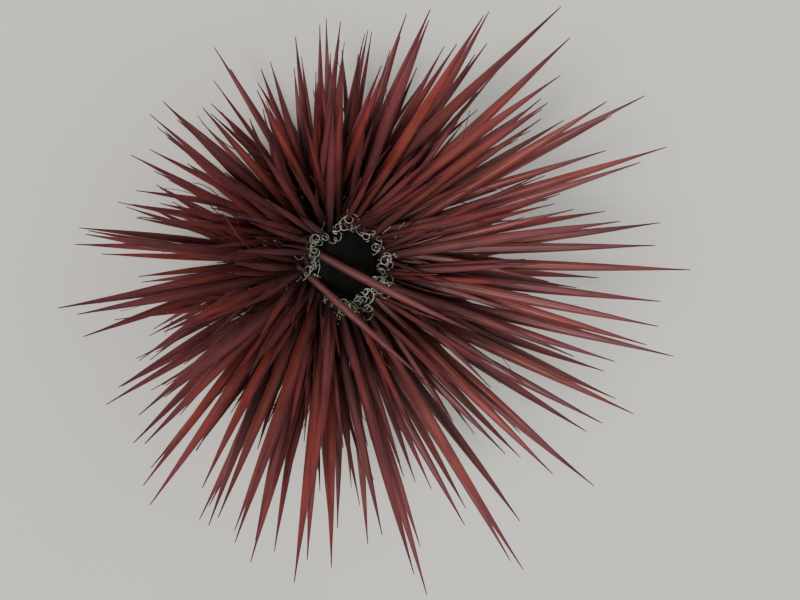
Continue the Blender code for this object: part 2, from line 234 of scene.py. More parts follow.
class Finish:
    """A material with one Principled shader. Constants go straight onto the shader's own sockets."""

    def __init__(self, name, constants):
        self.material = bpy.data.materials.new(name)
        self.material.use_nodes = True
        self.tree = self.material.node_tree
        self.shader = self.tree.nodes["Principled BSDF"]
        self.fill(self.shader, constants)

    def fill(self, node, values):
        """Links each value that is a socket, and writes the others onto the node."""
        for socket, value in values.items():
            if isinstance(value, Value):
                self.tree.links.new(value.socket, node.inputs[socket])
            else:
                node.inputs[socket].default_value = value

    def node(self, kind, values, output=0, stops=(), **settings):
        """Adds a node, with its settings and a ramp's stops set before its sockets are filled."""
        node = self.tree.nodes.new(kind)
        for setting, value in settings.items():
            setattr(node, setting, value)
        for number, (place, tint) in enumerate(stops):
            elements = node.color_ramp.elements
            element = elements[number] if number < len(elements) else elements.new(place)
            element.position = place
            element.color = tint
        self.fill(node, values)
        return Value(self, node.outputs[output])

    def mix(self, share, first, second):
        """The first colour, with this share of the second over it."""
        return self.node("ShaderNodeMix", {0: share, 6: first, 7: second}, output=2, data_type="RGBA")

    def ramp(self, value, places, shades):
        """A colour ramp with one screen colour at each place from 0 to 1."""
        stops = [(place, colour(*shade)) for place, shade in zip(places, shades)]
        return self.node("ShaderNodeValToRGB", {"Fac": value}, stops=stops)

    def noise(self, where, scale, detail=3.0):
        """Soft noise about 0.5, with this many waves in each unit of length."""
        return self.node("ShaderNodeTexNoise", {"Vector": where, "Scale": scale, "Detail": detail})

    def attribute(self, name):
        """The number that the mesh holds by this name."""
        return self.node("ShaderNodeAttribute", {}, output="Fac", attribute_name=name)

    def between(self, value, low, high):
        """0 below low, 1 above high, and a smooth step in between."""
        sockets = {"Value": value, "From Min": low, "From Max": high}
        return self.node("ShaderNodeMapRange", sockets, interpolation_type="SMOOTHSTEP")

    def showing(self, pattern, low, high, most):
        """Nothing where the pattern is below low, and this much at most where it is above high."""
        return self.between(pattern, low, high) * most

    def stain_and_sheen(self, base, pattern, low, high, most, stain_or_sheen_colour):
        """The base colour, with a stain or a painted sheen over it as the pattern shows."""
        return self.mix(self.showing(pattern, low, high, most), base, stain_or_sheen_colour)

    def bump(self, height, distance, strength=1.0):
        """A surface that rises and sinks by this distance in metres as the height goes from 0 to 1."""
        sockets = {"Height": height, "Distance": distance, "Strength": strength}
        return self.node("ShaderNodeBump", sockets)

    def feed(self, values):
        """Fills the Principled shader's own sockets and hands back the material."""
        self.fill(self.shader, values)
        return self.material


print("a mid grey is", colour(128, 128, 128)[0])

# %% [markdown]
# ## The floor
# A museum stands such a model on a plain pale surface. One wide square is enough. A trace of unevenness in
# its colour keeps it from looking computed.

# %% Pale floor
FLOOR_HALF = 25.0
FLOOR_UNEVENNESS = 14.0

floor_finish = Finish("floor_finish", {"Roughness": 0.75, "Specular IOR Level": 0.25})
floor_place = floor_finish.node("ShaderNodeTexCoord", {}, output="Object")
floor_tone = floor_finish.noise(floor_place, FLOOR_UNEVENNESS, detail=4.0)
floor_colour = floor_finish.mix(floor_tone, colour(214, 211, 205), colour(222, 220, 215))
floor_finish.feed({"Base Color": floor_colour})

floor_mesh = bpy.data.meshes.new("floor")
corners = [(x * FLOOR_HALF, y * FLOOR_HALF, 0.0) for x, y in ((-1, -1), (1, -1), (1, 1), (-1, 1))]
floor_mesh.from_pydata(corners, [], [(0, 1, 2, 3)])
floor_mesh.materials.append(floor_finish.material)
floor = bpy.data.objects.new("floor", floor_mesh)
bpy.context.scene.collection.objects.link(floor)
print("floor:", 2 * FLOOR_HALF, "m square")

# %% [markdown]
# ## From arrays to a mesh
# Every piece of this animal is a tube of some kind: the test is one wide tube closed at its two poles, and
# a needle, a spine, a tube foot and a tooth are slim ones. So one function turns an array of rings into a
# mesh, for one tube or for a thousand joined ones. It also writes two maps: `lie`, which runs round and
# along each tube for the finishes, and `OFBake`, a small patch for each tube at its root's place on an
# unwrap of the test.

# %% Rings into a mesh
CAP_SHARE = 0.02


def tube_faces(tubes, levels, sides):
    """The vertices of each face: quads between a tube's rings, and triangles to its two end points.

    Vertices are counted ring by ring and tube by tube, then come all first end points, then all last ones.
    """
    body = np.arange(tubes * levels * sides).reshape(tubes, levels, sides)
    beside = np.roll(body, -1, axis=2)
    starts = np.broadcast_to((body.size + np.arange(tubes))[:, None], (tubes, sides))
    quads = np.stack([body[:, :-1], beside[:, :-1], beside[:, 1:], body[:, 1:]], axis=-1)
    first = np.stack([starts, beside[:, 0], body[:, 0]], axis=-1)
    last = np.stack([starts + tubes, body[:, -1], beside[:, -1]], axis=-1)
    return quads.reshape(-1, 4), np.concatenate([first, last]).reshape(-1, 3)


def corners_of(*pairs):
    """The two coordinates of each corner of each face, one row for each corner in turn."""
    return np.stack([np.stack(np.broadcast_arrays(*pair), axis=-1) for pair in pairs], axis=-2).reshape(-1, 2)


def tube_map(tubes, levels, sides, along):
    """For each corner of each face: round its tube, from 0 to 1, and along it, and which tube it is on."""
    west = np.arange(sides) / sides
    east = west + 1 / sides
    middle = west + 0.5 / sides
    height = CAP_SHARE + (1 - 2 * CAP_SHARE) * np.broadcast_to(along, (tubes, levels))
    low, high = height[:, :-1, None], height[:, 1:, None]
    start, stop = height[:, :1], height[:, -1:]
    bottom, top = np.zeros((tubes, 1)), np.ones((tubes, 1))
    lie = np.concatenate([
        corners_of((west, low), (east, low), (east, high), (west, high)),
        corners_of((middle, bottom), (east, start), (west, start)),
        corners_of((middle, top), (west, stop), (east, stop)),
    ])
    corner_counts = ((levels - 1) * sides * 4, sides * 3, sides * 3)
    owner = np.concatenate([np.repeat(np.arange(tubes), count) for count in corner_counts])
    return lie, owner


def joined(name, rings, ends, along, place, patch, numbers):
    """One mesh of many tubes. rings is tubes x levels x sides x 3, and ends holds each one's end points.

    The ring at level j lies at along[j] of its tube's length, from 0 to 1. A tube's patch of the OFBake map
    has its corner at its place. numbers holds one value for each tube, by the name of its attribute.
    """
    tubes, levels, sides = rings.shape[:3]
    quads, triangles = tube_faces(tubes, levels, sides)
    lie, owner = tube_map(tubes, levels, sides, along)
    mesh = bpy.data.meshes.new(name)
    points = np.concatenate([rings.reshape(-1, 3), ends[:, 0], ends[:, 1]]) + AXIS
    mesh.vertices.add(len(points))
    mesh.vertices.foreach_set("co", points.astype(np.float32).ravel())
    loops = np.concatenate([quads.ravel(), triangles.ravel()])
    mesh.loops.add(len(loops))
    mesh.loops.foreach_set("vertex_index", loops.astype(np.int32))
    sizes = np.concatenate([np.full(len(quads), 4), np.full(len(triangles), 3)])
    mesh.polygons.add(len(sizes))
    mesh.polygons.foreach_set("loop_start", (np.cumsum(sizes) - sizes).astype(np.int32))
    mesh.update(calc_edges=True)
    mesh.shade_smooth()
    for map_name, values in (("lie", lie), ("OFBake", place[owner] + lie * patch)):
        layer = mesh.uv_layers.new(name=map_name)
        layer.uv.foreach_set("vector", values.astype(np.float32).ravel())
    for label, values in numbers.items():
        layer = mesh.attributes.new(label, "FLOAT", "POINT")
        values = np.concatenate([np.repeat(values, levels * sides), values, values])
        layer.data.foreach_set("value", values.astype(np.float32))
    piece = bpy.data.objects.new(name, mesh)
    bpy.context.scene.collection.objects.link(piece)
    print(f"{name}: {tubes} tubes, {2 * len(quads) + len(triangles)} triangles")
    return piece


# %% [markdown]
# A ring needs a direction to start from and must not spin as its tube bends. Each ring takes the last one's
# direction and only tips it square to the new heading, so flutes run straight along a curved needle.

# %% Circles along a path
NEARLY_UPRIGHT = 0.8


def swept(path, radius, sides, flutes=0, depth=0.0):
    """Circles carried along each path. Each is turned no more than its path turns, so none twists.

    path is tubes x rings x 3 and radius is tubes x rings. With flutes, the circle's radius swells and
    sinks by depth that many times round: radius (1 + depth cos(flutes a)).
    """
    tangent = unit(np.gradient(path, axis=1))
    spare = np.where(np.abs(tangent[:, 0, 2:]) < NEARLY_UPRIGHT, [[0.0, 0, 1]], [[1.0, 0, 0]])
    across = np.empty_like(path)
    across[:, 0] = unit(np.cross(tangent[:, 0], spare))
    for ring in range(1, path.shape[1]):
        along = tangent[:, ring]
        carried = across[:, ring - 1]
        across[:, ring] = unit(carried - (carried * along).sum(axis=-1, keepdims=True) * along)
    other = np.cross(tangent, across)
    turn = np.arange(sides) * 2 * math.pi / sides
    swell = radius[..., None] * (1 + depth * np.cos(flutes * turn))
    circle = np.cos(turn)[:, None] * across[:, :, None] + np.sin(turn)[:, None] * other[:, :, None]
    return path[:, :, None] + swell[..., None] * circle


# %% [markdown]
# ## Where the needles stand
# On a living urchin the knobs run in rows and columns, down the five ambulacra, where the tube feet come
# out, and the five wider zones between them. The field below is worked out exactly as for the packed
# solids, with the same seed, so that every needle lies in the solid that it stands for. First come the
# roots, in columns along the meridians.

# %% Rows and columns of roots
AMBULACRUM_WIDTH = 34.0
INTERAMBULACRUM_WIDTH = 38.0
FIRST_AMBULACRUM_AT = 9.0
SECTORS = 10
SECTOR_STEP = 360 / SECTORS
COLUMN_PLACES = (-0.25, 0.0, 0.25)
COLUMN_STARTS = (0.5, 2.25, 0.0)
MIDDLE_COLUMN_ROWS = 6
TOP_ROW_RADIUS = 0.0055
LAST_ROW_RADIUS = 0.0058
ROW_STEP = 0.00170
OUTLINE_SAMPLES = 400


def rows_and_columns():
    """Polar angle, azimuth and sector of every root, one row step apart down each column.

    A sector's two side columns are half a step off each other. The short middle one starts lower.
    """
    first, last = polar_at_radius(TOP_ROW_RADIUS), polar_at_radius(LAST_ROW_RADIUS, below=True)
    polar = np.linspace(first, last, OUTLINE_SAMPLES)
    radius, height = outline(polar)
    arc = np.concatenate([[0], np.cumsum(np.hypot(np.diff(radius), np.diff(height)))])
    found = []
    for sector in range(SECTORS):
        width = INTERAMBULACRUM_WIDTH if sector % 2 else AMBULACRUM_WIDTH
        for place, start in zip(COLUMN_PLACES, COLUMN_STARTS):
            azimuth = math.radians(FIRST_AMBULACRUM_AT + SECTOR_STEP * sector + place * width)
            along = np.arange(start * ROW_STEP, arc[-1], ROW_STEP)
            along = along[:MIDDLE_COLUMN_ROWS] if place == 0 else along
            found += [(row, azimuth, sector) for row in np.interp(along, arc, polar)]
    table = np.array(found)
    return table[:, 0], table[:, 1], table[:, 2].astype(int)


print("knobs for needles:", len(rows_and_columns()[0]))

# %% [markdown]
# ## Tips that were measured, and tips that weren't
# The long needles end where they end in the photograph. A tip seen from one side only gives a bearing and
# a reach, so its depth is found by halving: a nearer tip always stands more upright, and the depth sought
# is the one at which the needle has the lean of its row.

# %% Tips along the line of sight
SIGHT_DEPTHS = (-0.03, 0.06)
HALVINGS = 40
LONG_NEEDLES = (
    # bearing in degrees and reach in millimetres, from the test's middle
    (59, 34.5), (56, 40.5), (50, 35), (46, 49), (42, 45), (33, 35), (29, 44), (27, 49),
    (21, 41), (18, 45), (11, 34.5), (7, 40.5), (5, 46), (3, 45), (-2, 50), (-7, 34.5),
    (-14, 45.5), (-16, 49.5), (-20, 42), (-22, 36.5), (-28, 44), (-31, 47.5), (-34, 43),
    (-40, 44.5), (-44, 43), (-48, 36.5), (-54, 45), (-63, 41.5), (-66, 35), (-71, 32),
    (-79, 39), (-91, 41.5), (-97, 36.5), (-101, 41), (-108, 41.5), (-114, 40.5),
    (-125, 42), (-129, 40.5), (-135, 34.5), (-139, 31),
)
LONG_ROWS_END = math.radians(66)
CROSSING_NEEDLES = (
    # over the disc: the root's azimuth and polar angle, the tip's bearing and reach, the lean
    (270.5, 36, -27, 23.0, 50),
    (288.5, 43, -52, 21.5, 54),
)


def tips_seen(roots, leans, bearings, reaches):
    """The tips that show at these bearings and reaches, at the depths that give each needle its lean.

    A point at depth d shows larger by D / (D - d), so its true offset is smaller by the inverse.
    """
    passes = np.array(SIGHT_PASSES)
    shown = reaches[:, None] * np.stack([np.cos(bearings), np.sin(bearings)], axis=-1)
    low, high = (np.full(len(roots), depth) for depth in SIGHT_DEPTHS)
    for _ in range(HALVINGS):
        depth = (low + high) / 2
        across = (shown - passes) * (1 - depth / SIGHT_DISTANCE)[:, None] + passes
        tips = across[:, :1] * right + across[:, 1:] * up + depth[:, None] * nearer
        tips[:, 2] += TEST_CENTRE_HEIGHT
        flat = unit(tips - roots)[:, 2] < np.cos(leans)
        low, high = np.where(flat, depth, low), np.where(flat, high, depth)
    return tips


print("measured tips:", len(LONG_NEEDLES) + len(CROSSING_NEEDLES))

# %% [markdown]
# ## Room between the needles
# Some two hundred and fifty needles from one small test would run through each other if each simply
# followed its row. Living ones are turned by a ring of muscle until they lie clear. Here each needle is
# sampled along its length, the nearest approach to every other needle is measured, and both turn a little
# about their roots, eighty times over. It is one sum over whole arrays in each round.

# %% Turn the needles apart
FLOOR_CLEARANCE = 0.0007
FULL_LENGTH = 0.034
SUNK_RADIUS = 0.00048
SHAFT_RADIUS = 0.00074
TAPERED_RADIUS = 0.00047
FOOT_RADIUS = 0.00030
SLIMMEST = 0.55
THICKEST_AT = 0.40
TAPERED_AT = 0.76
CLEARANCE = 0.00045
OVERLOOKED = 0.00015
NEEDLE_SAMPLES = 10
FIRST_SAMPLE = 0.15
TURNING_ROUNDS = 80
LONGEST_PUSH = 0.0015
TURNS_FROM = 0.08
PUSH = 0.6
LEAST_FALL = 1e-6
LEAST_DISTANCE = 1e-9


def settled(roots, directions, length, standing):
    """The tips, with every downward needle kept off the floor but for those that stand on it."""
    down = np.maximum(-directions[:, 2], LEAST_FALL)
    room = (roots[:, 2] - np.where(standing, 0, FLOOR_CLEARANCE)) / down
    length = np.where(standing, room, np.minimum(length, room))
    return roots + length[:, None] * directions


def thickness(length):
    """How thick a needle is, against one of full length."""
    return np.clip(length / FULL_LENGTH, SLIMMEST, 1)


def gaps(roots, tips, bend):
    """How much too near each sample of each needle comes to each other needle, and the way out.

    Samples lie at p(s) = root + s (tip - root) + 4 s (1 - s) bend L, closer together near the root.
    The other needle's point is the nearest on its chord, moved by its own bend.
    """
    chord = tips - roots
    length = np.linalg.norm(chord, axis=1)
    sag = bend * length[:, None]
    thick = thickness(length)
    along = np.linspace(FIRST_SAMPLE, 1, NEEDLE_SAMPLES) ** 2
    bulge = 4 * along * (1 - along)
    points = roots[:, None] + along[:, None] * chord[:, None] + bulge[:, None] * sag[:, None]
    relative = points[:, :, None] - roots
    other = np.clip(np.einsum("isjk,jk->isj", relative, chord) / length**2, 0, 1)
    away = relative - other[..., None] * chord - (4 * other * (1 - other))[..., None] * sag
    distance = np.linalg.norm(away, axis=-1)
    profile = ((0, THICKEST_AT, TAPERED_AT, 1), (SUNK_RADIUS, SHAFT_RADIUS, TAPERED_RADIUS, 0))
    own_radius = thick[:, None] * np.interp(along, *profile)
    other_radius = thick * np.interp(other, *profile)
    short = own_radius[..., None] + other_radius + CLEARANCE - distance
    everyone = np.arange(len(roots))
    short[everyone, :, everyone] = -math.inf
    return along, short, away / np.maximum(distance, LEAST_DISTANCE)[..., None]


def turned_apart(roots, tips, bend, standing, ease):
    """The tips after each needle has turned about its root, in small steps, away from those too near."""
    length = np.linalg.norm(tips - roots, axis=1)
    for _ in range(TURNING_ROUNDS):
        along, short, away = gaps(roots, tips, bend)
        lever = np.where(along > TURNS_FROM, 1 / along, 0)
        wanted = np.maximum(short, 0)[..., None] * away * lever[:, None, None]
        push = (wanted.max(axis=1) + wanted.min(axis=1)).sum(axis=1) * (PUSH * ease[:, None])
        size = np.linalg.norm(push, axis=1, keepdims=True)
        push = push * np.minimum(1, LONGEST_PUSH / np.maximum(size, LEAST_DISTANCE))
        tips = settled(roots, unit(tips + push - roots), length, standing)
    return tips


print("a needle of full length is", 2 * SHAFT_RADIUS * 1000, "mm thick")

# %% [markdown]
# ## How each row leans
# By the polar angle of its root a needle gets its lean and its length: long and half upright by the disc,
# level at the waist, short and steep underneath. Seeded random draws spread them as an animal's are
# spread. Some of the lower needles stand on the floor.

# %% Draw the rows
ROOT_SPREAD = 0.00010
ROOT_DEGREES = (25, 40, 60, 75, 90, 105, 124, 150)
LEAN_DEGREES = (50, 55, 64, 75, 90, 108, 148, 168)
LENGTHS = (0.039, 0.039, 0.036, 0.031, 0.026, 0.018, 0.008, 0.005)
STANDING_ROOT = math.radians(124)
STANDING_LEAN = math.radians(148)
LEAN_SPREAD = math.radians(5)
TURN_SPREAD = math.radians(7)
LENGTH_SPREAD = 0.08
WIDEST_DRAW = 2
NEAR_SIDE_SHORTER = 0.11
REAR_SHORTER = 0.12
REAR_AZIMUTH = math.radians(205)
BEND = 0.018
SEED = 11


def bell(rng, shape):
    """Bell-shaped draws about 0, cut off at WIDEST_DRAW times their spread."""
    return rng.standard_normal(shape).clip(-WIDEST_DRAW, WIDEST_DRAW)


def bends(rng, count, most, power=1):
    """Which way each one bends, and how far as a share of its length: most times a draw^power."""
    return unit(rng.standard_normal((count, 3))) * rng.random((count, 1)) ** power * most


def row_lean(polar):
    """The lean from +Z of a needle whose root is at this polar angle."""
    return np.radians(np.interp(np.degrees(polar), ROOT_DEGREES, LEAN_DEGREES))


def drawn_needles(rng):
    """Every needle as its row has it, spread by the draws: tip = root + length (lean, turn).

    In each column the root nearest to STANDING_ROOT stands, where it is within one row step of it.
    """
    polar, azimuth, sector = rows_and_columns()
    count = len(polar)
    off = np.abs(polar - STANDING_ROOT)
    standing = (off == [off[azimuth == turn].min() for turn in azimuth]) & (off < ROW_STEP / TEST_RADIUS)
    shift = ROOT_SPREAD / TEST_RADIUS * rng.uniform(-1, 1, (2, count))
    roots = on_test(polar + shift[0], azimuth + shift[1])
    lean = np.where(standing, STANDING_LEAN, row_lean(polar) + LEAN_SPREAD * bell(rng, count))
    turn = azimuth + TURN_SPREAD * bell(rng, count)
    shorter = NEAR_SIDE_SHORTER * (1 - np.sin(azimuth))
    shorter = shorter + REAR_SHORTER * np.maximum(np.cos(azimuth - REAR_AZIMUTH), 0)
    length = np.interp(np.degrees(polar), ROOT_DEGREES, LENGTHS) * (1 - shorter)
    length = length * (1 + LENGTH_SPREAD * bell(rng, count))
    bend = bends(rng, count, BEND, power=2)
    tips = settled(roots, heading(lean, turn), length, standing)
    return roots, tips, bend, sector, standing, polar, lean


print("the rows lean from", LEAN_DEGREES[0], "to", LEAN_DEGREES[-1], "degrees")

# %% [markdown]
# ## The whole field
# Each measured tip needs a needle to end in it. The two that cross the disc name their roots, and every
# other tip goes to the upper root whose needle already points nearest to it. Then all are turned apart,
# the measured ones less than the rest and those over the disc not at all. Of any two that still come too
# near each other one is left out, the unmeasured one first.

# %% Grow the needle field
MEASURED_EASE = 0.35


def angle_apart(first, second, period=2 * math.pi):
    """How far apart two directions are, at most half the period."""
    return np.abs((first - second + period / 2) % period - period / 2)


def measured_needles(roots, tips, polar, lean):
    """The number, lean, bearing and reach of each needle that ends in a measured tip."""
    free = polar < LONG_ROWS_END
    facing = np.arctan2((tips - roots) @ up, (tips - roots) @ right)
    chosen = []
    for root_azimuth, root_polar, bearing, reach, inward in CROSSING_NEEDLES:
        wanted_root = on_test(math.radians(root_polar), math.radians(root_azimuth))
        best = np.argmin(np.linalg.norm(roots - wanted_root, axis=1))
        free[best] = False
        chosen.append((best, math.radians(inward), math.radians(bearing), reach / 1000))
    for bearing, reach in LONG_NEEDLES:
        best = np.argmin(np.where(free, angle_apart(facing, math.radians(bearing)), math.inf))
        free[best] = False
        chosen.append((best, lean[best], math.radians(bearing), reach / 1000))
    number, *seen = np.array(chosen).T
    return number.astype(int), seen


def needle_field():
    """Every needle's root, tip, bend and sector, whether it stands, and whether it crosses the disc."""
    roots, tips, bend, sector, standing, polar, lean = drawn_needles(np.random.default_rng(SEED))
    measured, seen = measured_needles(roots, tips, polar, lean)
    tips[measured] = tips_seen(roots[measured], *seen)
    crossing = measured[: len(CROSSING_NEEDLES)]
    ease = np.ones(len(roots))
    ease[measured] = MEASURED_EASE
    ease[crossing] = 0
    tips = turned_apart(roots, tips, bend, standing, ease)
    kept = np.ones(len(roots), bool)
    short = gaps(roots, tips, bend)[1].max(axis=1)
    for first, second in np.argwhere(np.triu(np.maximum(short, short.T) > OVERLOOKED)):
        if kept[first] and kept[second]:
            kept[second if ease[second] > ease[first] else first] = False
    over_disc = np.isin(np.arange(len(roots)), crossing)
    return tuple(values[kept] for values in (roots, tips, bend, sector, standing, over_disc))


roots, tips, bend, sector, standing, over_disc = needle_field()
lengths = np.linalg.norm(tips - roots, axis=1)
print(f"{len(roots)} needles, {lengths.min() * 1000:.0f} to {lengths.max() * 1000:.0f} mm long")
print(f"{standing.sum()} of them stand on the floor")

# %% [markdown]
# ## The finish of the needles
# Wet calcite under a thin skin: satin, wine to mauve with some needles a bright brick red, darker at the
# root and purple at the very point. Those colours are partly the needles' own and partly painted light: the
# red stands in part for light shining through a needle, and the mauve in part for a painted sheen. Fine
# fibres run lengthwise, and a pale mauve painted sheen lies along them. A ramp along the needle gives the
# change from root to point, two numbers drawn for each needle give its own colour and depth, and a noise
# that is stretched along the needle gives the fibres. The noise is read on a cylinder, so it has no seam.

# %% Patterns that go round a tube
TONE_OFFSET = 61.0


def around_and_along(finish):
    """The two directions of a tube's own map."""
    lie = finish.node("ShaderNodeUVMap", {}, uv_map="lie")
    return [finish.node("ShaderNodeSeparateXYZ", {0: lie}, output=axis) for axis in ("X", "Y")]


def mottling(finish, around, along, radius, rise, scale, detail=3.0):
    """A noise read on a cylinder of this radius and rise, at a place of its own for each tube."""
    angle = around * (2 * math.pi)
    offset = finish.attribute("tone") * TONE_OFFSET
    place = finish.node("ShaderNodeCombineXYZ", {
        "X": angle.math("COSINE", angle) * radius,
        "Y": angle.math("SINE", angle) * radius + offset,
        "Z": along * rise + offset,
    })
    return finish.noise(place, scale, detail)


# %% Needle colour and grooves
NEEDLE_GLOSS = {
    "Specular IOR Level": 0.38,
    "Sheen Weight": 0.04,
    "Sheen Roughness": 0.35,
    "Sheen Tint": colour(214, 170, 186),
    "Coat Weight": 0.09,
    "Coat Roughness": 0.28,
}
# Of each pattern: the radius and rise of its cylinder, the scale of its noise and its detail
FIBRES = (3.2, 2.5, 2.0, 4.0)
BLOTCHES = (0.5, 5.0, 1.0, 2.0)
FLUSHES = (0.7, 3.2, 1.3, 1.0)
# Where a pattern begins to show and shows in full, how much it then gives, and the colour it lays over
FLUSHED = (0.42, 0.62, 0.28)
ROUGHENED = (0.3, 0.8, 0.22)
# A pale mauve painted sheen, laid along the fibres
PAINTED_SHEEN = (0.45, 0.75, 0.24, colour(150, 94, 98))
DEEP = (0.45, 0.70, 0.45, colour(52, 23, 22))
# How much hue adds to the redness and tone to the shade, and ribs and fibres to the relief
HUE_SHARE = 0.75
SHADE_SHARE = 0.46
SHADE = colour(46, 21, 20)
RIB_SHARE = 0.5
FIBRE_SHARE = 1.1
GROOVE_STRENGTH = 0.9
LONG_NEEDLE = {
    "places": (0.00, 0.08, 0.30, 0.62, 0.86, 1.00),
    "mauve": ((30, 18, 15), (58, 36, 35), (98, 57, 59), (114, 55, 60), (108, 46, 59), (76, 35, 57)),
    "red": ((34, 18, 13), (72, 35, 27), (120, 50, 36), (144, 51, 40), (128, 45, 45), (84, 35, 52)),
    "ribs": 14,
    "rib_height": 0.000035,
    "roughness": 0.34,
}


def needle_finish(name, places, mauve, red, ribs, rib_height, roughness):
    """Two root-to-point ramps mixed for each needle, with fibres, a painted sheen, blotches and grooves."""
    finish = Finish(name, NEEDLE_GLOSS)
    around, along = around_and_along(finish)
    tone, hue = finish.attribute("tone"), finish.attribute("hue")
    fibres, blotches, flushes = (
        mottling(finish, around, along, *pattern) for pattern in (FIBRES, BLOTCHES, FLUSHES)
    )
    # Redness mixes the red ramp over the mauve one. This is partly the needles' own colour and partly painted
    # light: the red in part stands for light shining through a needle, the mauve in part for a painted sheen
    redness = hue * HUE_SHARE + finish.showing(flushes, *FLUSHED)
    base = finish.mix(redness, finish.ramp(along, places, mauve), finish.ramp(along, places, red))
    # The fibres lay a pale mauve painted sheen over the needle, and the blotches a darker wine
    stain_and_sheen = finish.stain_and_sheen(finish.stain_and_sheen(base, fibres, *PAINTED_SHEEN), blotches, *DEEP)
    grooves = around * (2 * math.pi * ribs)
    height = grooves.math("SINE", grooves) * RIB_SHARE + fibres * FIBRE_SHARE
    return finish.feed({
        "Base Color": finish.mix(tone * SHADE_SHARE, stain_and_sheen, SHADE),
        "Roughness": finish.showing(fibres, *ROUGHENED) + roughness,
        "Normal": finish.bump(height, rib_height, GROOVE_STRENGTH),
    })


needle_material = needle_finish("needle_finish", **LONG_NEEDLE)
print("needle finish:", len(needle_material.node_tree.nodes), "nodes")

# %% [markdown]
# ## The needles
# A primary needle has a narrow foot on its knob, a milled ring where the muscle grips, a neck, and a shaft
# that swells for a little over a third of its length and then tapers to a sharp point. The foot keeps its
# size on short and long needles alike, so its rings are placed in metres and those of the shaft as shares
# of what is left. Twelve shallow flutes, two sides to each, catch the light as the ridges of the real
# shaft do. Each sector of the test gets a piece of its own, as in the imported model.

# %% The shape of one needle
FOOT_RINGS = np.array([0.0, 0.00012, 0.00030, 0.00055, 0.0010])
FOOT_SWELL = np.array([0.58, 0.86, 0.92, 0.70, 0.66])
SHAFT_RINGS = np.array([0.07, 0.18, 0.30, 0.42, 0.56, 0.70, 0.82, 0.92, 1.0])
SWOLLEN_AT = 0.38
TAPER_POWER = 1.75
FLUTE_DEPTH = 0.030


def needle_rings(lengths):
    """How far from its root each ring of a needle lies, in metres."""
    rest = lengths[:, None] - FOOT_RINGS[-1]
    foot = np.broadcast_to(FOOT_RINGS, (len(lengths), len(FOOT_RINGS)))
    return np.concatenate([foot, FOOT_RINGS[-1] + SHAFT_RINGS * rest], axis=1)


def needle_profile(share):
    """The shaft's swell: a quarter sine up to SWOLLEN_AT, then 1 - x^power down to the point."""
    up_to = FOOT_SWELL[-1] + (1 - FOOT_SWELL[-1]) * np.sin(np.clip(share / SWOLLEN_AT, 0, 1) * math.pi / 2)
    past = np.clip((share - SWOLLEN_AT) / (1 - SWOLLEN_AT), 0, 1)
    return up_to * (1 - past**TAPER_POWER)


def bent_path(roots, tips, bend, share):
    """p(s) = root + s (tip - root) + 4 s (1 - s) bend L, for the shares s of each needle's rings."""
    chord = tips - roots
    length = np.linalg.norm(chord, axis=1)[:, None, None]
    bulge = (4 * share * (1 - share))[..., None]
    return roots[:, None] + share[..., None] * chord[:, None] + bulge * bend[:, None] * length


print("rings of the longest needle, in mm:", (needle_rings(lengths.max(keepdims=True)) * 1000).round(1))

# %% Where a root lies on the unwrap
UNWRAP_SEAM = math.radians(FIRST_AMBULACRUM_AT - SECTOR_STEP / 2)


def angles_of(points):
    """The polar angle and azimuth of points on the test."""
    above = points[:, 2] - TEST_CENTRE_HEIGHT
    cosine = np.clip(above / np.where(above > 0, CROWN_RISE, KEEL_DROP), -1, 1)
    return np.arccos(cosine), np.arctan2(points[:, 1], points[:, 0]) % (2 * math.pi)


def bake_place(points, patch):
    """The corner of each root's patch on an unwrap of the test: azimuth across, meridian upwards.

    The unwrap is cut along a meridian between two sectors, so that no needle's patch meets the cut.
    """
    polar, azimuth = angles_of(points)
    across = (azimuth - UNWRAP_SEAM) % (2 * math.pi) / (2 * math.pi)
    share = np.interp(polar, MERIDIAN_POLAR, MERIDIAN_SHARE)
    spot = np.stack([across, 1 - share], axis=-1) - patch / 2
    return np.clip(spot, 0, 1 - patch)


# %% Sweep the needles, sector by sector
TIP_RADIUS = 0.00006
FLUTES = 12
NEEDLE_PATCH = np.array([0.020, 0.049])
RED_RARITY = 1.7
CROSSING_HUES = (0.25, 0.40)
CROSSING_TONES = (0.90, 1.00)


def needle_piece(name, flutes, patch, roots, tips, bend, narrowest, girth, tone, hue):
    """These needles as one mesh. Girth is each one's thickness against a needle of full length."""
    length = np.linalg.norm(tips - roots, axis=1)
    share = needle_rings(length) / length[:, None]
    foot = np.broadcast_to(FOOT_SWELL, (len(roots), len(FOOT_SWELL)))
    swell = np.concatenate([foot, needle_profile(share[:, len(FOOT_SWELL):])], axis=1)
    radius = np.maximum(swell * SHAFT_RADIUS * girth[:, None], narrowest[:, None])
    rings = swept(bent_path(roots, tips, bend, share), radius, 2 * flutes, flutes, FLUTE_DEPTH)
    rings[..., 2] = np.maximum(rings[..., 2], 0)
    ends = np.stack([roots, tips], axis=1)
    return joined(name, rings, ends, share, bake_place(roots, patch), patch, {"tone": tone, "hue": hue})


draws = np.random.default_rng(SEED + 1)
tone = draws.random(len(roots))
hue = draws.random(len(roots)) ** RED_RARITY
hue[over_disc] = CROSSING_HUES
tone[over_disc] = CROSSING_TONES
narrowest = np.where(standing, FOOT_RADIUS, TIP_RADIUS)
table = (roots, tips, bend, narrowest, thickness(lengths), tone, hue)
needle_pieces = {}
for k in range(SECTORS):
    node = f"{'inter' if k % 2 else ''}ambulacrum_{k // 2 + 1}"
    mine = (column[sector == k] for column in table)
    needle_pieces[node] = needle_piece(f"needles_{node}", FLUTES, NEEDLE_PATCH, *mine)

# %% [markdown]
# ## Finding room for more
# Between the long needles stand younger, shorter ones, and between those smaller spines. Their roots
# follow a golden-angle spiral, which spreads points evenly over a round surface with no rows to be seen.
# Each one tries a number of directions about its row's own lean and takes the one that stays clearest of
# the long needles. What still has no room is left out.

# %% Scatter roots evenly
GOLDEN_ANGLE = math.pi * (3 - math.sqrt(5))


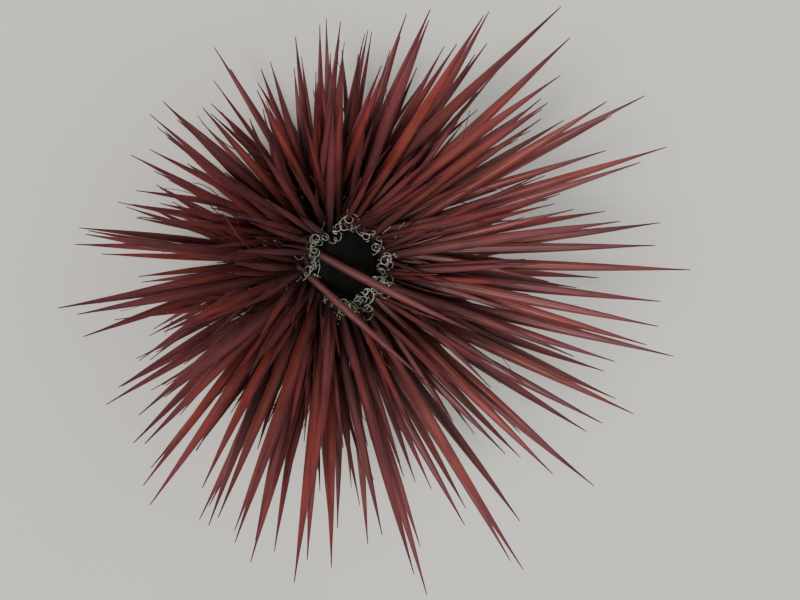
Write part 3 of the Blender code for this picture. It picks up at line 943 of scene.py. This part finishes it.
def scattered(count, top, bottom):
    """Polar angles and azimuths of points spread evenly over the test's surface between two polar angles."""
    radius = meridian[:, 0]
    area = np.concatenate([[0], np.cumsum((radius[1:] + radius[:-1]) / 2 * np.diff(MERIDIAN_ARC))])
    ends = np.interp([top, bottom], MERIDIAN_POLAR, area)
    wanted = ends[0] + (ends[1] - ends[0]) * (np.arange(count) + 0.5) / count
    return np.interp(wanted, area, MERIDIAN_POLAR), np.arange(count) * GOLDEN_ANGLE % (2 * math.pi)


# %% What is aimed from them
BARE_RIM = 0.0004
BARE_LIP = 0.0006
RIM = polar_at_radius(DISC_RADIUS + BARE_RIM)
LIP = polar_at_radius(DISC_RADIUS + BARE_LIP, below=True)
YOUNG_TOP = polar_at_radius(0.0050)
AIMED = {
    # how many are tried, between which polar angles, their lengths at the top, the waist and the bottom,
    # how far their directions spread, how many of them each one tries, and the room that it needs
    "young_needles": (520, YOUNG_TOP, math.radians(100), (0.025, 0.019, 0.012), math.radians(8), 40, 0.00105),
    "secondary_spines": (620, RIM, LIP, (0.0125, 0.0070, 0.0035), math.radians(13), 12, 0.00085),
    "miliary_spines": (1500, RIM, LIP, (0.0034, 0.0028, 0.0020), math.radians(22), 12, 0.00050),
    "long_tube_feet": (90, RIM, math.radians(88), (0.023, 0.018, 0.014), math.radians(9), 30, 0.0010),
}
print("to be tried:", {name: row[0] for name, row in AIMED.items()})

# %% Aim them
CLEAR_SAMPLES = np.array([0.35, 0.6, 0.8, 1.0])
POINTS_AT_ONCE = 4000
LENGTHS_DRAWN = (0.65, 1.1)
SIDEWAYS_SPREAD = 1.6
SHORTEST_PART = 3
OWN_SAMPLES = np.linspace(0.25, 1, 9)


def clearance_from_needles(points):
    """How far each point lies from the nearest needle's middle line."""
    chord = tips - roots
    relative = points[:, None] - roots
    share = np.clip((relative * chord).sum(axis=-1) / lengths**2, 0, 1)
    return np.linalg.norm(relative - share[..., None] * chord, axis=-1).min(axis=1)


def clearest(starts, directions, lengths_of_spines):
    """Of each spine's tried directions, the one whose samples stay farthest from the needles."""
    count, tries = directions.shape[:2]
    steps = CLEAR_SAMPLES[:, None] * directions[:, :, None] * lengths_of_spines[:, None, None, None]
    points = (starts[:, None, None] + steps).reshape(-1, 3)
    parts = np.array_split(points, max(1, len(points) // POINTS_AT_ONCE))
    room = np.concatenate([clearance_from_needles(part) for part in parts])
    room = room.reshape(count, tries, len(CLEAR_SAMPLES)).min(axis=2)
    best = room.argmax(axis=1)
    return directions[np.arange(count), best], room[np.arange(count), best]


def aimed(name, rng):
    """Roots and tips of those that have room and that the floor doesn't cut too short."""
    count, top, bottom, row_lengths, spread, tries, room_wanted = AIMED[name]
    polar, azimuth = scattered(count, top, bottom)
    starts = on_test(polar, azimuth)
    length = np.interp(polar, (top, math.pi / 2, bottom), row_lengths) * rng.uniform(*LENGTHS_DRAWN, count)
    leans = row_lean(polar)[:, None] + spread * bell(rng, (count, tries))
    turns = azimuth[:, None] + SIDEWAYS_SPREAD * spread * bell(rng, (count, tries))
    directions, room = clearest(starts, heading(leans, turns), length)
    down = np.maximum(-directions[:, 2], LEAST_FALL)
    length = np.minimum(length, (starts[:, 2] - FLOOR_CLEARANCE) / down)
    kept = (room > room_wanted) & (length > min(row_lengths) / SHORTEST_PART)
    return starts[kept], starts[kept] + length[kept, None] * directions[kept]


def spaced(starts, ends, wanted):
    """Which needles keep this far from every earlier one that was kept, at samples along both."""
    samples = starts[:, None] + OWN_SAMPLES[:, None] * (ends - starts)[:, None]
    kept = []
    for number, line in enumerate(samples):
        off = np.linalg.norm(line[:, None] - samples[kept][:, None], axis=-1)
        if off.min(initial=math.inf) > wanted:
            kept.append(number)
    return kept


# %% [markdown]
# ## Younger needles
# The fan in the photograph is closed near the test and opens only towards the points. Younger needles,
# about two thirds as long on average, close it here too. They are needles in every way, so they are swept
# by the same function, and they must keep clear of one another as well.

# %% Fill the fan with younger needles
YOUNG_SPACING = 0.00095
YOUNG_GIRTHS = (0.48, 0.66)
YOUNG_TONES = (0.2, 1.0)
YOUNG_REDDEST = 0.7
YOUNG_FLUTES = 8
YOUNG_PATCH = np.array([0.0125, 0.032])


def young_needles():
    """Needles with room round them and between them. Their hue is a squared draw, so few are red."""
    rng = np.random.default_rng(SEED + 2)
    starts, ends = aimed("young_needles", rng)
    kept = spaced(starts, ends, YOUNG_SPACING)
    count = len(kept)
    table = (
        starts[kept],
        ends[kept],
        bends(rng, count, BEND),
        np.full(count, TIP_RADIUS),
        rng.uniform(*YOUNG_GIRTHS, count),
        rng.uniform(*YOUNG_TONES, count),
        rng.random(count) ** 2 * YOUNG_REDDEST,
    )
    return needle_piece("young_needles", YOUNG_FLUTES, YOUNG_PATCH, *table)


young = young_needles()

# %% [markdown]
# ## Small spines
# Smaller still are the secondary spines, a few millimetres long, and the hair-thin miliary ones, which
# make the test look furry and dark from any side. They need only a few sides and rings each.

# %% Small spines all over the test
SPINE_RINGS = np.array([0, 0.06, 0.22, 0.5, 0.78, 1.0])
SPINE_TAPER = np.array([0.85, 1.0, 0.92, 0.70, 0.38, 0.08])
SPINE_BEND = 0.05
SPINE_REDDEST = 0.6
SPINE_PATCH = np.array([0.003, 0.003])


def small_spines(name, seed, slimness, sides):
    """Tapered spines all over the test. Their radius in metres is slimness sqrt(length)."""
    rng = np.random.default_rng(seed)
    starts, points = aimed(name, rng)
    count = len(starts)
    curve = bends(rng, count, SPINE_BEND)
    share = np.broadcast_to(SPINE_RINGS, (count, len(SPINE_RINGS)))
    path = bent_path(starts, points, curve, share)
    radius = np.linalg.norm(points - starts, axis=1)[:, None] ** 0.5 * slimness * SPINE_TAPER
    rings = swept(path, radius, sides)
    ends = np.stack([starts, path[:, -1]], axis=1)
    numbers = {"tone": rng.random(count), "hue": rng.random(count) ** 2 * SPINE_REDDEST}
    return joined(name, rings, ends, share, bake_place(starts, SPINE_PATCH), SPINE_PATCH, numbers), starts


secondary, secondary_roots = small_spines("secondary_spines", SEED + 10, slimness=0.0030, sides=7)
miliary, miliary_roots = small_spines("miliary_spines", SEED + 11, slimness=0.0022, sides=5)

# %% [markdown]
# ## The skin
# One unbroken skin covers the test, the disc and the mouth. On the real animal it is thin and nearly
# black, and what lies under it shows as relief: a boss under each needle, a low wart under each small
# spine, a groove along both edges of each ambulacrum, a ring of large and small plates on the disc with
# the vent in the middle, and a soft pleated membrane round the mouth. The skin is the test's own formula
# on a grid of two angles, with those heights added along the normal.

# %% Humps and grooves
HUMPS = (
    # what stands on each hump, how wide it is and how high
    (roots, 0.00085, 0.00034),
    (secondary_roots, 0.00042, 0.00013),
    (miliary_roots, 0.00022, 0.00007),
)
GROOVES_BESIDE = 17.5
GROOVE_WIDTH = 0.030
GROOVE_DEPTH = 0.00006


def humps(points, centres, width, height):
    """Round humps: height (1 - d^2 / width^2)^2 at distance d from the nearest centre."""
    total = np.zeros(points.shape[:-1])
    for row, line in enumerate(points):
        off = ((line[:, None] - centres) ** 2).sum(axis=-1).min(axis=1) / width**2
        total[row] = height * np.clip(1 - off, 0, 1) ** 2
    return total


def beside_ambulacra(degrees):
    """The azimuths this many degrees to either side of the middle of each ambulacrum, in turn."""
    middles = FIRST_AMBULACRUM_AT + SECTOR_STEP * np.arange(0, SECTORS, 2)
    return np.radians(middles[:, None] + [-degrees, degrees]).ravel()


def groove(azimuth, place):
    """(1 - a)^2 at a times the groove's width from this meridian, and 0 past the width."""
    return np.clip(1 - angle_apart(azimuth, place) / GROOVE_WIDTH, 0, 1) ** 2


# %% Relief of the disc and the mouth
# Each ridge lies round the pole: its place and width as shares of the disc's radius, and its height
PLATES = (0.62, 0.20, 0.00010)
VENT = (0.0, 0.16, 0.00042)
VENT_PIT = (0.0, 0.06, -0.00030)
DISC_EDGE = (0.98, 0.07, 0.00010)
MOUTH_LIP = (0.30, 0.12, 0.0004)
PLATES_REACH = 0.05
PLATES_SWELL = 0.35
LARGE_PLATES_AT = math.radians(FIRST_AMBULACRUM_AT + SECTOR_STEP)
DISC_RELIEF_TO = 1.1
PLEATS = 20
PLEAT_HEIGHT = 0.00007
HOLLOW_AT = 0.62
HOLLOW_WIDTH = 0.38
HOLLOW_DEPTH = 0.0007


def ridge(share, place, width, height):
    """height exp(-((share - place) / width)^2)"""
    return height * np.exp(-(((share - place) / width) ** 2))


def disc_relief(share, azimuth):
    """The plates, five times larger and smaller on the way round, the vent and its pit, and the edge."""
    larger = np.cos(SECTORS // 2 * (azimuth - LARGE_PLATES_AT))
    place, width, height = PLATES
    plates = ridge(share, place + PLATES_REACH * larger, width, height) * (1 + PLATES_SWELL * larger)
    return plates + ridge(share, *VENT) + ridge(share, *VENT_PIT) + ridge(share, *DISC_EDGE)


def mouth_relief(share, azimuth):
    """Pleats that run outwards, 4 s (1 - s) deep, a hollow of cosine section and the lip inside it."""
    pleats = PLEAT_HEIGHT * np.cos(PLEATS * azimuth) * np.clip(4 * share * (1 - share), 0, 1)
    across = np.clip((share - HOLLOW_AT) / HOLLOW_WIDTH, -1, 1)
    return pleats - HOLLOW_DEPTH * np.cos(across * math.pi / 2) ** 2 + ridge(share, *MOUTH_LIP)


def relief(polar, azimuth, points):
    """The height of the skin above the plain test at each point of the grid."""
    share = outline(polar)[0] / DISC_RADIUS
    above = np.cos(polar) > 0
    height = sum(humps(points, *row) for row in HUMPS)
    grooves = sum(groove(azimuth, place) for place in beside_ambulacra(GROOVES_BESIDE))
    height = height - GROOVE_DEPTH * grooves * (share > 1)
    height = height + (above & (share < DISC_RELIEF_TO)) * disc_relief(share, azimuth)
    return height + (~above & (share < 1)) * mouth_relief(share, azimuth)


# %% One skin over the test
SKIN_ROWS = 230
SKIN_COLUMNS = 400
POLE_GAP = 0.002


def skin_piece():
    """The test's grid, from the pole of the mouth up to the pole of the disc."""
    share = np.linspace(1 - POLE_GAP, POLE_GAP, SKIN_ROWS)
    polar = np.interp(share, MERIDIAN_SHARE, MERIDIAN_POLAR)[:, None]
    azimuth = np.linspace(0, 2 * math.pi, SKIN_COLUMNS, endpoint=False)[None]
    polar, azimuth = np.broadcast_arrays(polar, azimuth)
    plain = on_test(polar, azimuth)
    raised = plain + relief(polar, azimuth, plain)[..., None] * outward(polar, azimuth)
    ends = np.stack([raised[0].mean(axis=0), raised[-1].mean(axis=0)])[None]
    place, patch = np.zeros((1, 2)), np.ones(2)
    return joined("skin", raised[None], ends, 1 - share, place, patch, {})


skin = skin_piece()

# %% [markdown]
# ## The finish of the skin
# Seen from above the disc is a nearly black, slightly wet patch. Down the sides the skin turns to a dark
# wine brown. The material reads the object's own coordinates, which lie in the frame, so height above the
# floor decides between the two colours and fine noise makes the grain of the skin.

# %% Skin colour and grain
SKIN_GLOSS = {"Specular IOR Level": 0.08, "Coat Weight": 0.02, "Coat Roughness": 0.35}
GRAINS_PER_METRE = 2600.0
PATCHES_PER_METRE = 420.0
BLACK_FROM = 0.0125
BLACK_TO = 0.0155
SKIN_ROUGHNESS = 0.45
PATCH_ROUGHNESS = 0.3
PATCH_RELIEF = 0.6
GRAIN_HEIGHT = 0.00012
GRAIN_STRENGTH = 0.8

skin_finish = Finish("skin_finish", SKIN_GLOSS)
skin_place = skin_finish.node("ShaderNodeTexCoord", {}, output="Object")
skin_height = skin_finish.node("ShaderNodeSeparateXYZ", {0: skin_place}, output="Z")
skin_grain = skin_finish.noise(skin_place, GRAINS_PER_METRE, detail=4.0)
skin_patches = skin_finish.noise(skin_place, PATCHES_PER_METRE)
flank_colour = skin_finish.mix(skin_patches, colour(32, 15, 18), colour(18, 10, 11))
disc_colour = skin_finish.mix(skin_patches, colour(8, 7, 6), colour(15, 12, 10))
up_high = skin_finish.between(skin_height, BLACK_FROM, BLACK_TO)
skin_material = skin_finish.feed({
    "Base Color": skin_finish.mix(up_high, flank_colour, disc_colour),
    "Roughness": skin_patches * PATCH_ROUGHNESS + SKIN_ROUGHNESS,
    "Normal": skin_finish.bump(skin_grain + skin_patches * PATCH_RELIEF, GRAIN_HEIGHT, GRAIN_STRENGTH),
})
print("skin finish:", len(skin_material.node_tree.nodes), "nodes")

# %% [markdown]
# ## Tube feet
# From pores along the five ambulacra come soft, watery feet, each with a sucker at its end. Round the disc
# they wave and coil into pale curls, which are the brightest things on the animal. Each one is a tapering
# helix about a line that leaves the test, with a second, slower sway. The sucker is made by the last few
# rings, which flare and close.

# %% The path of a tube foot
FOOT_SUNK = 0.0002
FOOT_LIFT = 0.0004
ASIDE = np.array([[0.6, 0.5, 0.1]])
OPENS = 5
SHRINKS = 0.35
FLATNESS = 0.9
UNEVEN_TURNS = (0.08, 7)
UNEVEN_SIZE = (0.28, 9)
SWAY = (0.15, 4)
STEM_POWER = 6


def wave(share, phase, height, pace):
    """height sin(pace s + phase)"""
    return height * np.sin(pace * share + phase)


def foot_path(rng, starts, direction, axis, rise, reach, coil, turns, steps):
    """p(s) = root + stem + reach s d + size (cos, sin)(2 pi turns s) + sway, with s from 0 to 1.

    The cosine and the sine lie across the axis. Along d the turns then draw a trochoid. The size grows
    to coil over the first fifth and shrinks again, and it and the turns are a little uneven. The stem
    lifts it all off the root by rise (1 - (1 - s)^6).
    """
    count = len(starts)
    shape = (np.broadcast_to(values, count)[:, None, None] for values in (rise, reach, coil, turns))
    rise, reach, coil, turns = shape
    first = unit(np.cross(axis, ASIDE))
    second = np.cross(axis, first)
    share = np.linspace(0, 1, steps)[None, :, None]
    phase = rng.uniform(0, 2 * math.pi, (count, 1, 1))
    hand = rng.choice([-1, 1], (count, 1, 1))
    angle = phase + hand * 2 * math.pi * turns * (share + wave(share, phase, *UNEVEN_TURNS))
    size = coil * np.minimum(1, OPENS * share) * (1 - SHRINKS * share)
    size = size * (1 + wave(share, 2 * phase, *UNEVEN_SIZE))
    helix = size * (np.cos(angle) * first[:, None] + FLATNESS * np.sin(angle) * second[:, None])
    sway = reach * wave(share, phase, *SWAY) * share * second[:, None]
    stem = rise * (1 - (1 - share) ** STEM_POWER) * np.array([0, 0, 1.0])
    path = starts[:, None] + stem + reach * share * direction[:, None] + helix + sway
    path[..., 2] = np.maximum(path[..., 2], FOOT_LIFT)
    return path


# %% Tube feet with their suckers
FOOT_SIDES = 6
TUBE_RADIUS = 0.000056
FOOT_TAPER = (1.7, 0.8)
FOOT_RIPPLE = (0.10, 1.9)
FOOT_GIRTHS = (0.8, 1.2)
FOOT_PATCH = np.array([0.004, 0.004])
SUCKER_STEPS = np.array([0.00004, 0.00009, 0.00014])
SUCKER_SWELL = np.array([1.35, 1.65, 1.25])
SUCKER_DIMPLE = 0.00005


def tube_feet(name, seed, steps, polar, azimuth, direction, reach, coil, turns, axis=None, rise=0.0):
    """Feet from these roots, as one mesh. Their turns lie across the axis, or else across their line."""
    rng = np.random.default_rng(seed)
    starts = on_test(polar, azimuth) - FOOT_SUNK * outward(polar, azimuth)
    axis = direction if axis is None else axis
    path = foot_path(rng, starts, direction, axis, rise, reach, coil, turns, steps)
    end = unit(path[:, -1] - path[:, -2])
    path = np.concatenate([path, path[:, -1:] + SUCKER_STEPS[:, None] * end[:, None]], axis=1)
    taper = np.linspace(*FOOT_TAPER, steps) * (1 + wave(np.arange(steps), 0, *FOOT_RIPPLE))
    swell = np.concatenate([taper, SUCKER_SWELL])
    rings = swept(path, swell * TUBE_RADIUS * rng.uniform(*FOOT_GIRTHS, (len(starts), 1)), FOOT_SIDES)
    ends = np.stack([starts, path[:, -1] - SUCKER_DIMPLE * end], axis=1)
    numbers = {"tone": rng.random(len(starts))}
    along = np.linspace(0, 1, len(swell))
    return joined(name, rings, ends, along, bake_place(starts, FOOT_PATCH), FOOT_PATCH, numbers)


# %% [markdown]
# The curls round the disc are placed from the photograph, in groups by their bearing. Most lie along the
# rim, below and to the right, and look like lace. Those at the upper left are longer, and wander out
# between the needles.

# %% Curls round the disc
CURL_GROUPS = (
    # first and last bearing in degrees as the viewer sees them, how many, how far out they lean, size
    (-108, -50, 7, 0.55, 1.25),
    (-45, 20, 7, 0.20, 1.15),
    (-30, 5, 3, 1.40, 1.1),
    (25, 62, 4, 0.15, 0.9),
    (60, 108, 4, 0.70, 0.8),
    (110, 178, 6, 1.20, 1.2),
    (125, 172, 3, -0.15, 1.0),
    (184, 248, 4, 0.30, 0.8),
)
CURL_STEPS = 56
CURL_SCATTER = 0.06
CURL_LEAN = math.radians(48)
CURL_LEANS_BY = 1.2
CURL_SIDEWAYS = (0.7, 1.0)
CURL_UPWARDS = (0, 0, 0.25)
CURL_TIPS_BY = 0.35
CURL_TURNS = (1.3, 3.2)
CURL_POLAR = (-0.04, 0.05)
CURL_RISE = (0.0002, 0.0012)
CURL_REACH_PER_TURN = (0.0009, 0.0014)
CURL_COIL = (0.00045, 0.00078)


def azimuths_at(bearings):
    """The azimuths, on a level disc, that the viewer sees at these bearings."""
    across = np.cos(bearings)[:, None] * right + np.sin(bearings)[:, None] * up
    level = across - across[:, 2:] / nearer[2] * nearer
    return np.arctan2(level[:, 1], level[:, 0])


def rim_tube_feet():
    """Curls whose line goes sideways along the rim, outwards and up, and whose axis faces the viewer."""
    rng = np.random.default_rng(SEED + 20)
    table = np.array([
        (math.radians(bearing), leaning, size)
        for first, last, count, leaning, size in CURL_GROUPS
        for bearing in np.linspace(first, last, count)
    ])
    bearing, leaning, size = table.T
    count = len(table)
    azimuth = azimuths_at(bearing) + CURL_SCATTER * rng.standard_normal(count)
    sideways = heading(np.full(count, math.pi / 2), azimuth + math.pi / 2)
    sideways = sideways * rng.choice([-1, 1], (count, 1)) * rng.uniform(*CURL_SIDEWAYS, (count, 1))
    outwards = heading(np.full(count, CURL_LEAN), azimuth) * leaning[:, None] * CURL_LEANS_BY
    direction = unit(sideways + outwards + CURL_UPWARDS)
    axis = unit(nearer + CURL_TIPS_BY * rng.standard_normal((count, 3)))
    turns = rng.uniform(*CURL_TURNS, count)
    polar = RIM + rng.uniform(*CURL_POLAR, count)
    rise = rng.uniform(*CURL_RISE, count)
    reach = rng.uniform(*CURL_REACH_PER_TURN, count) * size * turns
    coil = rng.uniform(*CURL_COIL, count) * size
    shape = (polar, azimuth, direction, reach, coil, turns)
    return tube_feet("rim_tube_feet", SEED + 21, CURL_STEPS, *shape, axis, rise)


rim_feet = rim_tube_feet()

# %% Feet down the sides
FEET_DOWN = 13
FEET_BESIDE = 14.5
FEET_END = 0.10
SIDE_STEPS = 18
SIDE_SCATTER = 0.5
SIDE_OUTWARDS = 0.4
SIDE_REACH = (0.0025, 0.0060)
SIDE_COIL = (0.0002, 0.0005)
SIDE_TURNS = (0.3, 1.4)


def side_tube_feet():
    """Two rows down each ambulacrum, from below the rim to above the mouth, that lean as needles do."""
    rng = np.random.default_rng(SEED + 22)
    rows = np.linspace(RIM + FEET_END, LIP - FEET_END, FEET_DOWN)
    sides = beside_ambulacra(FEET_BESIDE)
    azimuth, polar = np.repeat(sides, FEET_DOWN), np.tile(rows, len(sides))
    count = len(azimuth)
    leaning = heading(row_lean(polar), azimuth + SIDE_SCATTER * rng.standard_normal(count))
    direction = unit(leaning + SIDE_OUTWARDS * outward(polar, azimuth))
    reach, coil, turns = (rng.uniform(*limits, count) for limits in (SIDE_REACH, SIDE_COIL, SIDE_TURNS))
    return tube_feet("side_tube_feet", SEED + 23, SIDE_STEPS, polar, azimuth, direction, reach, coil, turns)


side_feet = side_tube_feet()

# %% [markdown]
# A few feet of each ambulacrum reach far out between the needles, as thin, dark, gently curved threads.
# Like the small spines, each takes the clearest of many directions about its row's lean.

# %% Long feet between the needles
LONG_STEPS = 26
LONG_COIL = (0.0003, 0.0008)
LONG_TURNS = (0.4, 1.1)
PORE_ZONE = 15.0


def long_tube_feet():
    """Of feet tried all round the upper test, those that are rooted in an ambulacrum."""
    rng = np.random.default_rng(SEED + 24)
    starts, ends = aimed("long_tube_feet", rng)
    polar, azimuth = angles_of(starts)
    kept = angle_apart(np.degrees(azimuth), FIRST_AMBULACRUM_AT, 2 * SECTOR_STEP) < PORE_ZONE
    line = (ends - starts)[kept]
    coil, turns = (rng.uniform(*limits, len(line)) for limits in (LONG_COIL, LONG_TURNS))
    shape = (unit(line), np.linalg.norm(line, axis=1), coil, turns)
    return tube_feet("long_tube_feet", SEED + 25, LONG_STEPS, polar[kept], azimuth[kept], *shape)


long_feet = long_tube_feet()

# %% [markdown]
# ## The finish of the tube feet
# They are watery and pale grey, with a bright wet gloss. Light goes a little way into them, which the
# subsurface setting of the shader does with constants alone. Their suckers are a shade paler.

# %% Tube foot colour
FOOT_GLOSS = {
    "Subsurface Weight": 0.35,
    "Subsurface Scale": 0.0006,
    "Subsurface Radius": (1.0, 0.9, 0.7),
    "Coat Weight": 0.5,
    "Coat Roughness": 0.12,
}
FOOT_SPOTS = (0.6, 9.0, 1.5)
SPOT_SHARE = 0.5
TONE_SHARE = 0.6
PALE_SUCKER = (0.85, 1.0, 0.4, colour(196, 198, 184))
FOOT_ROUGHNESS = 0.22
SPOT_ROUGHNESS = 0.2
SPOT_HEIGHT = 0.00003

foot_finish = Finish("tube_foot_finish", FOOT_GLOSS)
foot_around, foot_along = around_and_along(foot_finish)
foot_spots = mottling(foot_finish, foot_around, foot_along, *FOOT_SPOTS)
foot_paleness = foot_spots * SPOT_SHARE + foot_finish.attribute("tone") * TONE_SHARE
foot_base = foot_finish.mix(foot_paleness, colour(50, 54, 44), colour(178, 184, 168))
foot_material = foot_finish.feed({
    "Base Color": foot_finish.stain_and_sheen(foot_base, foot_along, *PALE_SUCKER),
    "Roughness": foot_spots * SPOT_ROUGHNESS + FOOT_ROUGHNESS,
    "Normal": foot_finish.bump(foot_spots, SPOT_HEIGHT),
})
print("tube foot finish:", len(foot_material.node_tree.nodes), "nodes")

# %% [markdown]
# ## Teeth
# Underneath, five hard ivory teeth close over the mouth like the chuck of a drill. Each is curved, with its
# point leaning in to the axis, so it is swept along a short arc, as a needle is.

# %% Five teeth
TEETH = 5
TOOTH_SHOWS = 0.0012
TOOTH_LENGTH = 0.0030
TOOTH_RING = 0.0011
TOOTH_LEANS_IN = 0.78
TOOTH_RADIUS = 0.00046
TOOTH_NARROWS = 0.80
TOOTH_RINGS = 10
TOOTH_SIDES = 10
TOOTH_PATCH = np.array([0.05, 0.05])
FIRST_TOOTH_PLACE = (0.10, 0.5)
NEXT_TOOTH_PLACE = (0.15, 0.0)


def teeth_piece():
    """Each tooth comes down at ring (1 - lean s^2) from the axis, with radius r (1 - narrowing s^3)."""
    share = np.linspace(0, 1, TOOTH_RINGS)
    azimuth = np.arange(TEETH)[:, None] * 2 * math.pi / TEETH
    arm = TOOTH_RING * (1 - share**2 * TOOTH_LEANS_IN)
    height = TEST_CENTRE_HEIGHT - KEEL_DROP - TOOTH_SHOWS + TOOTH_LENGTH * (1 - share)
    path = np.stack(np.broadcast_arrays(arm * np.cos(azimuth), arm * np.sin(azimuth), height), axis=-1)
    radius = np.broadcast_to(TOOTH_RADIUS * (1 - share**3 * TOOTH_NARROWS), (TEETH, TOOTH_RINGS))
    rings = swept(path, radius, TOOTH_SIDES)
    place = FIRST_TOOTH_PLACE + np.outer(np.arange(TEETH), NEXT_TOOTH_PLACE)
    numbers = {"tone": np.linspace(0, 1, TEETH)}
    return joined("teeth", rings, path[:, [0, -1]], share, place, TOOTH_PATCH, numbers)


teeth = teeth_piece()

# %% Tooth colour
TOOTH_GLOSS = {"Coat Weight": 0.3, "Coat Roughness": 0.2}
TOOTH_STREAKS = (1.5, 3.0, 1.2)
TOOTH_GUM = (0.3, 0.9)
STREAK_SHARE = 0.5
TOOTH_ROUGHNESS = 0.25
STREAK_ROUGHNESS = 0.2

tooth_finish = Finish("tooth_finish", TOOTH_GLOSS)
tooth_around, tooth_along = around_and_along(tooth_finish)
tooth_streaks = mottling(tooth_finish, tooth_around, tooth_along, *TOOTH_STREAKS)
tooth_root = 1 - tooth_finish.between(tooth_along, *TOOTH_GUM)
tooth_base = tooth_finish.mix(tooth_root, colour(226, 218, 200), colour(150, 128, 104))
tooth_material = tooth_finish.feed({
    "Base Color": tooth_finish.mix(tooth_streaks * STREAK_SHARE, tooth_base, colour(120, 96, 76)),
    "Roughness": tooth_streaks * STREAK_ROUGHNESS + TOOTH_ROUGHNESS,
})
print("tooth finish:", len(tooth_material.node_tree.nodes), "nodes")

# %% [markdown]
# ## Put the finishes on, and tie the pieces to the frame
# The small spines share the needles' way of being coloured, in a darker set of ramps, and the long dark
# tube feet share theirs. Then every piece rides on the one body of the model. The skin stands for all
# twelve solids at once, so no seam shows, and each sector's needles stand for that sector's solid too.

# %% Dress and tie
SMALL_SPINE = {
    "places": (0.00, 0.35, 0.80, 1.00),
    "mauve": ((24, 12, 13), (58, 26, 30), (92, 40, 48), (98, 54, 66)),
    "red": ((28, 12, 12), (84, 28, 28), (124, 42, 42), (112, 56, 62)),
    "ribs": 8,
    "rib_height": 0.000012,
    "roughness": 0.36,
}
small_material = needle_finish("small_spine_finish", **SMALL_SPINE)
DRESS = (
    # each piece, its finish, its slot and the solids that it stands for
    (skin, skin_material, "black_skin", tuple(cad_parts)),
    *((piece, needle_material, "maroon_needles", (node,)) for node, piece in needle_pieces.items()),
    (young, needle_material, "maroon_needles", ()),
    (secondary, small_material, "maroon_needles", ()),
    (miliary, small_material, "maroon_needles", ()),
    (rim_feet, foot_material, "black_skin", ()),
    (side_feet, foot_material, "black_skin", ()),
    (long_feet, small_material, "black_skin", ()),
    (teeth, tooth_material, "black_skin", ("mouth",)),
)
for piece, material, slot, nodes in DRESS:
    piece.data.materials.append(material)
    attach(piece, "root")
    if nodes:
        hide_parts(*nodes)
print("pieces tied:", len(DRESS))
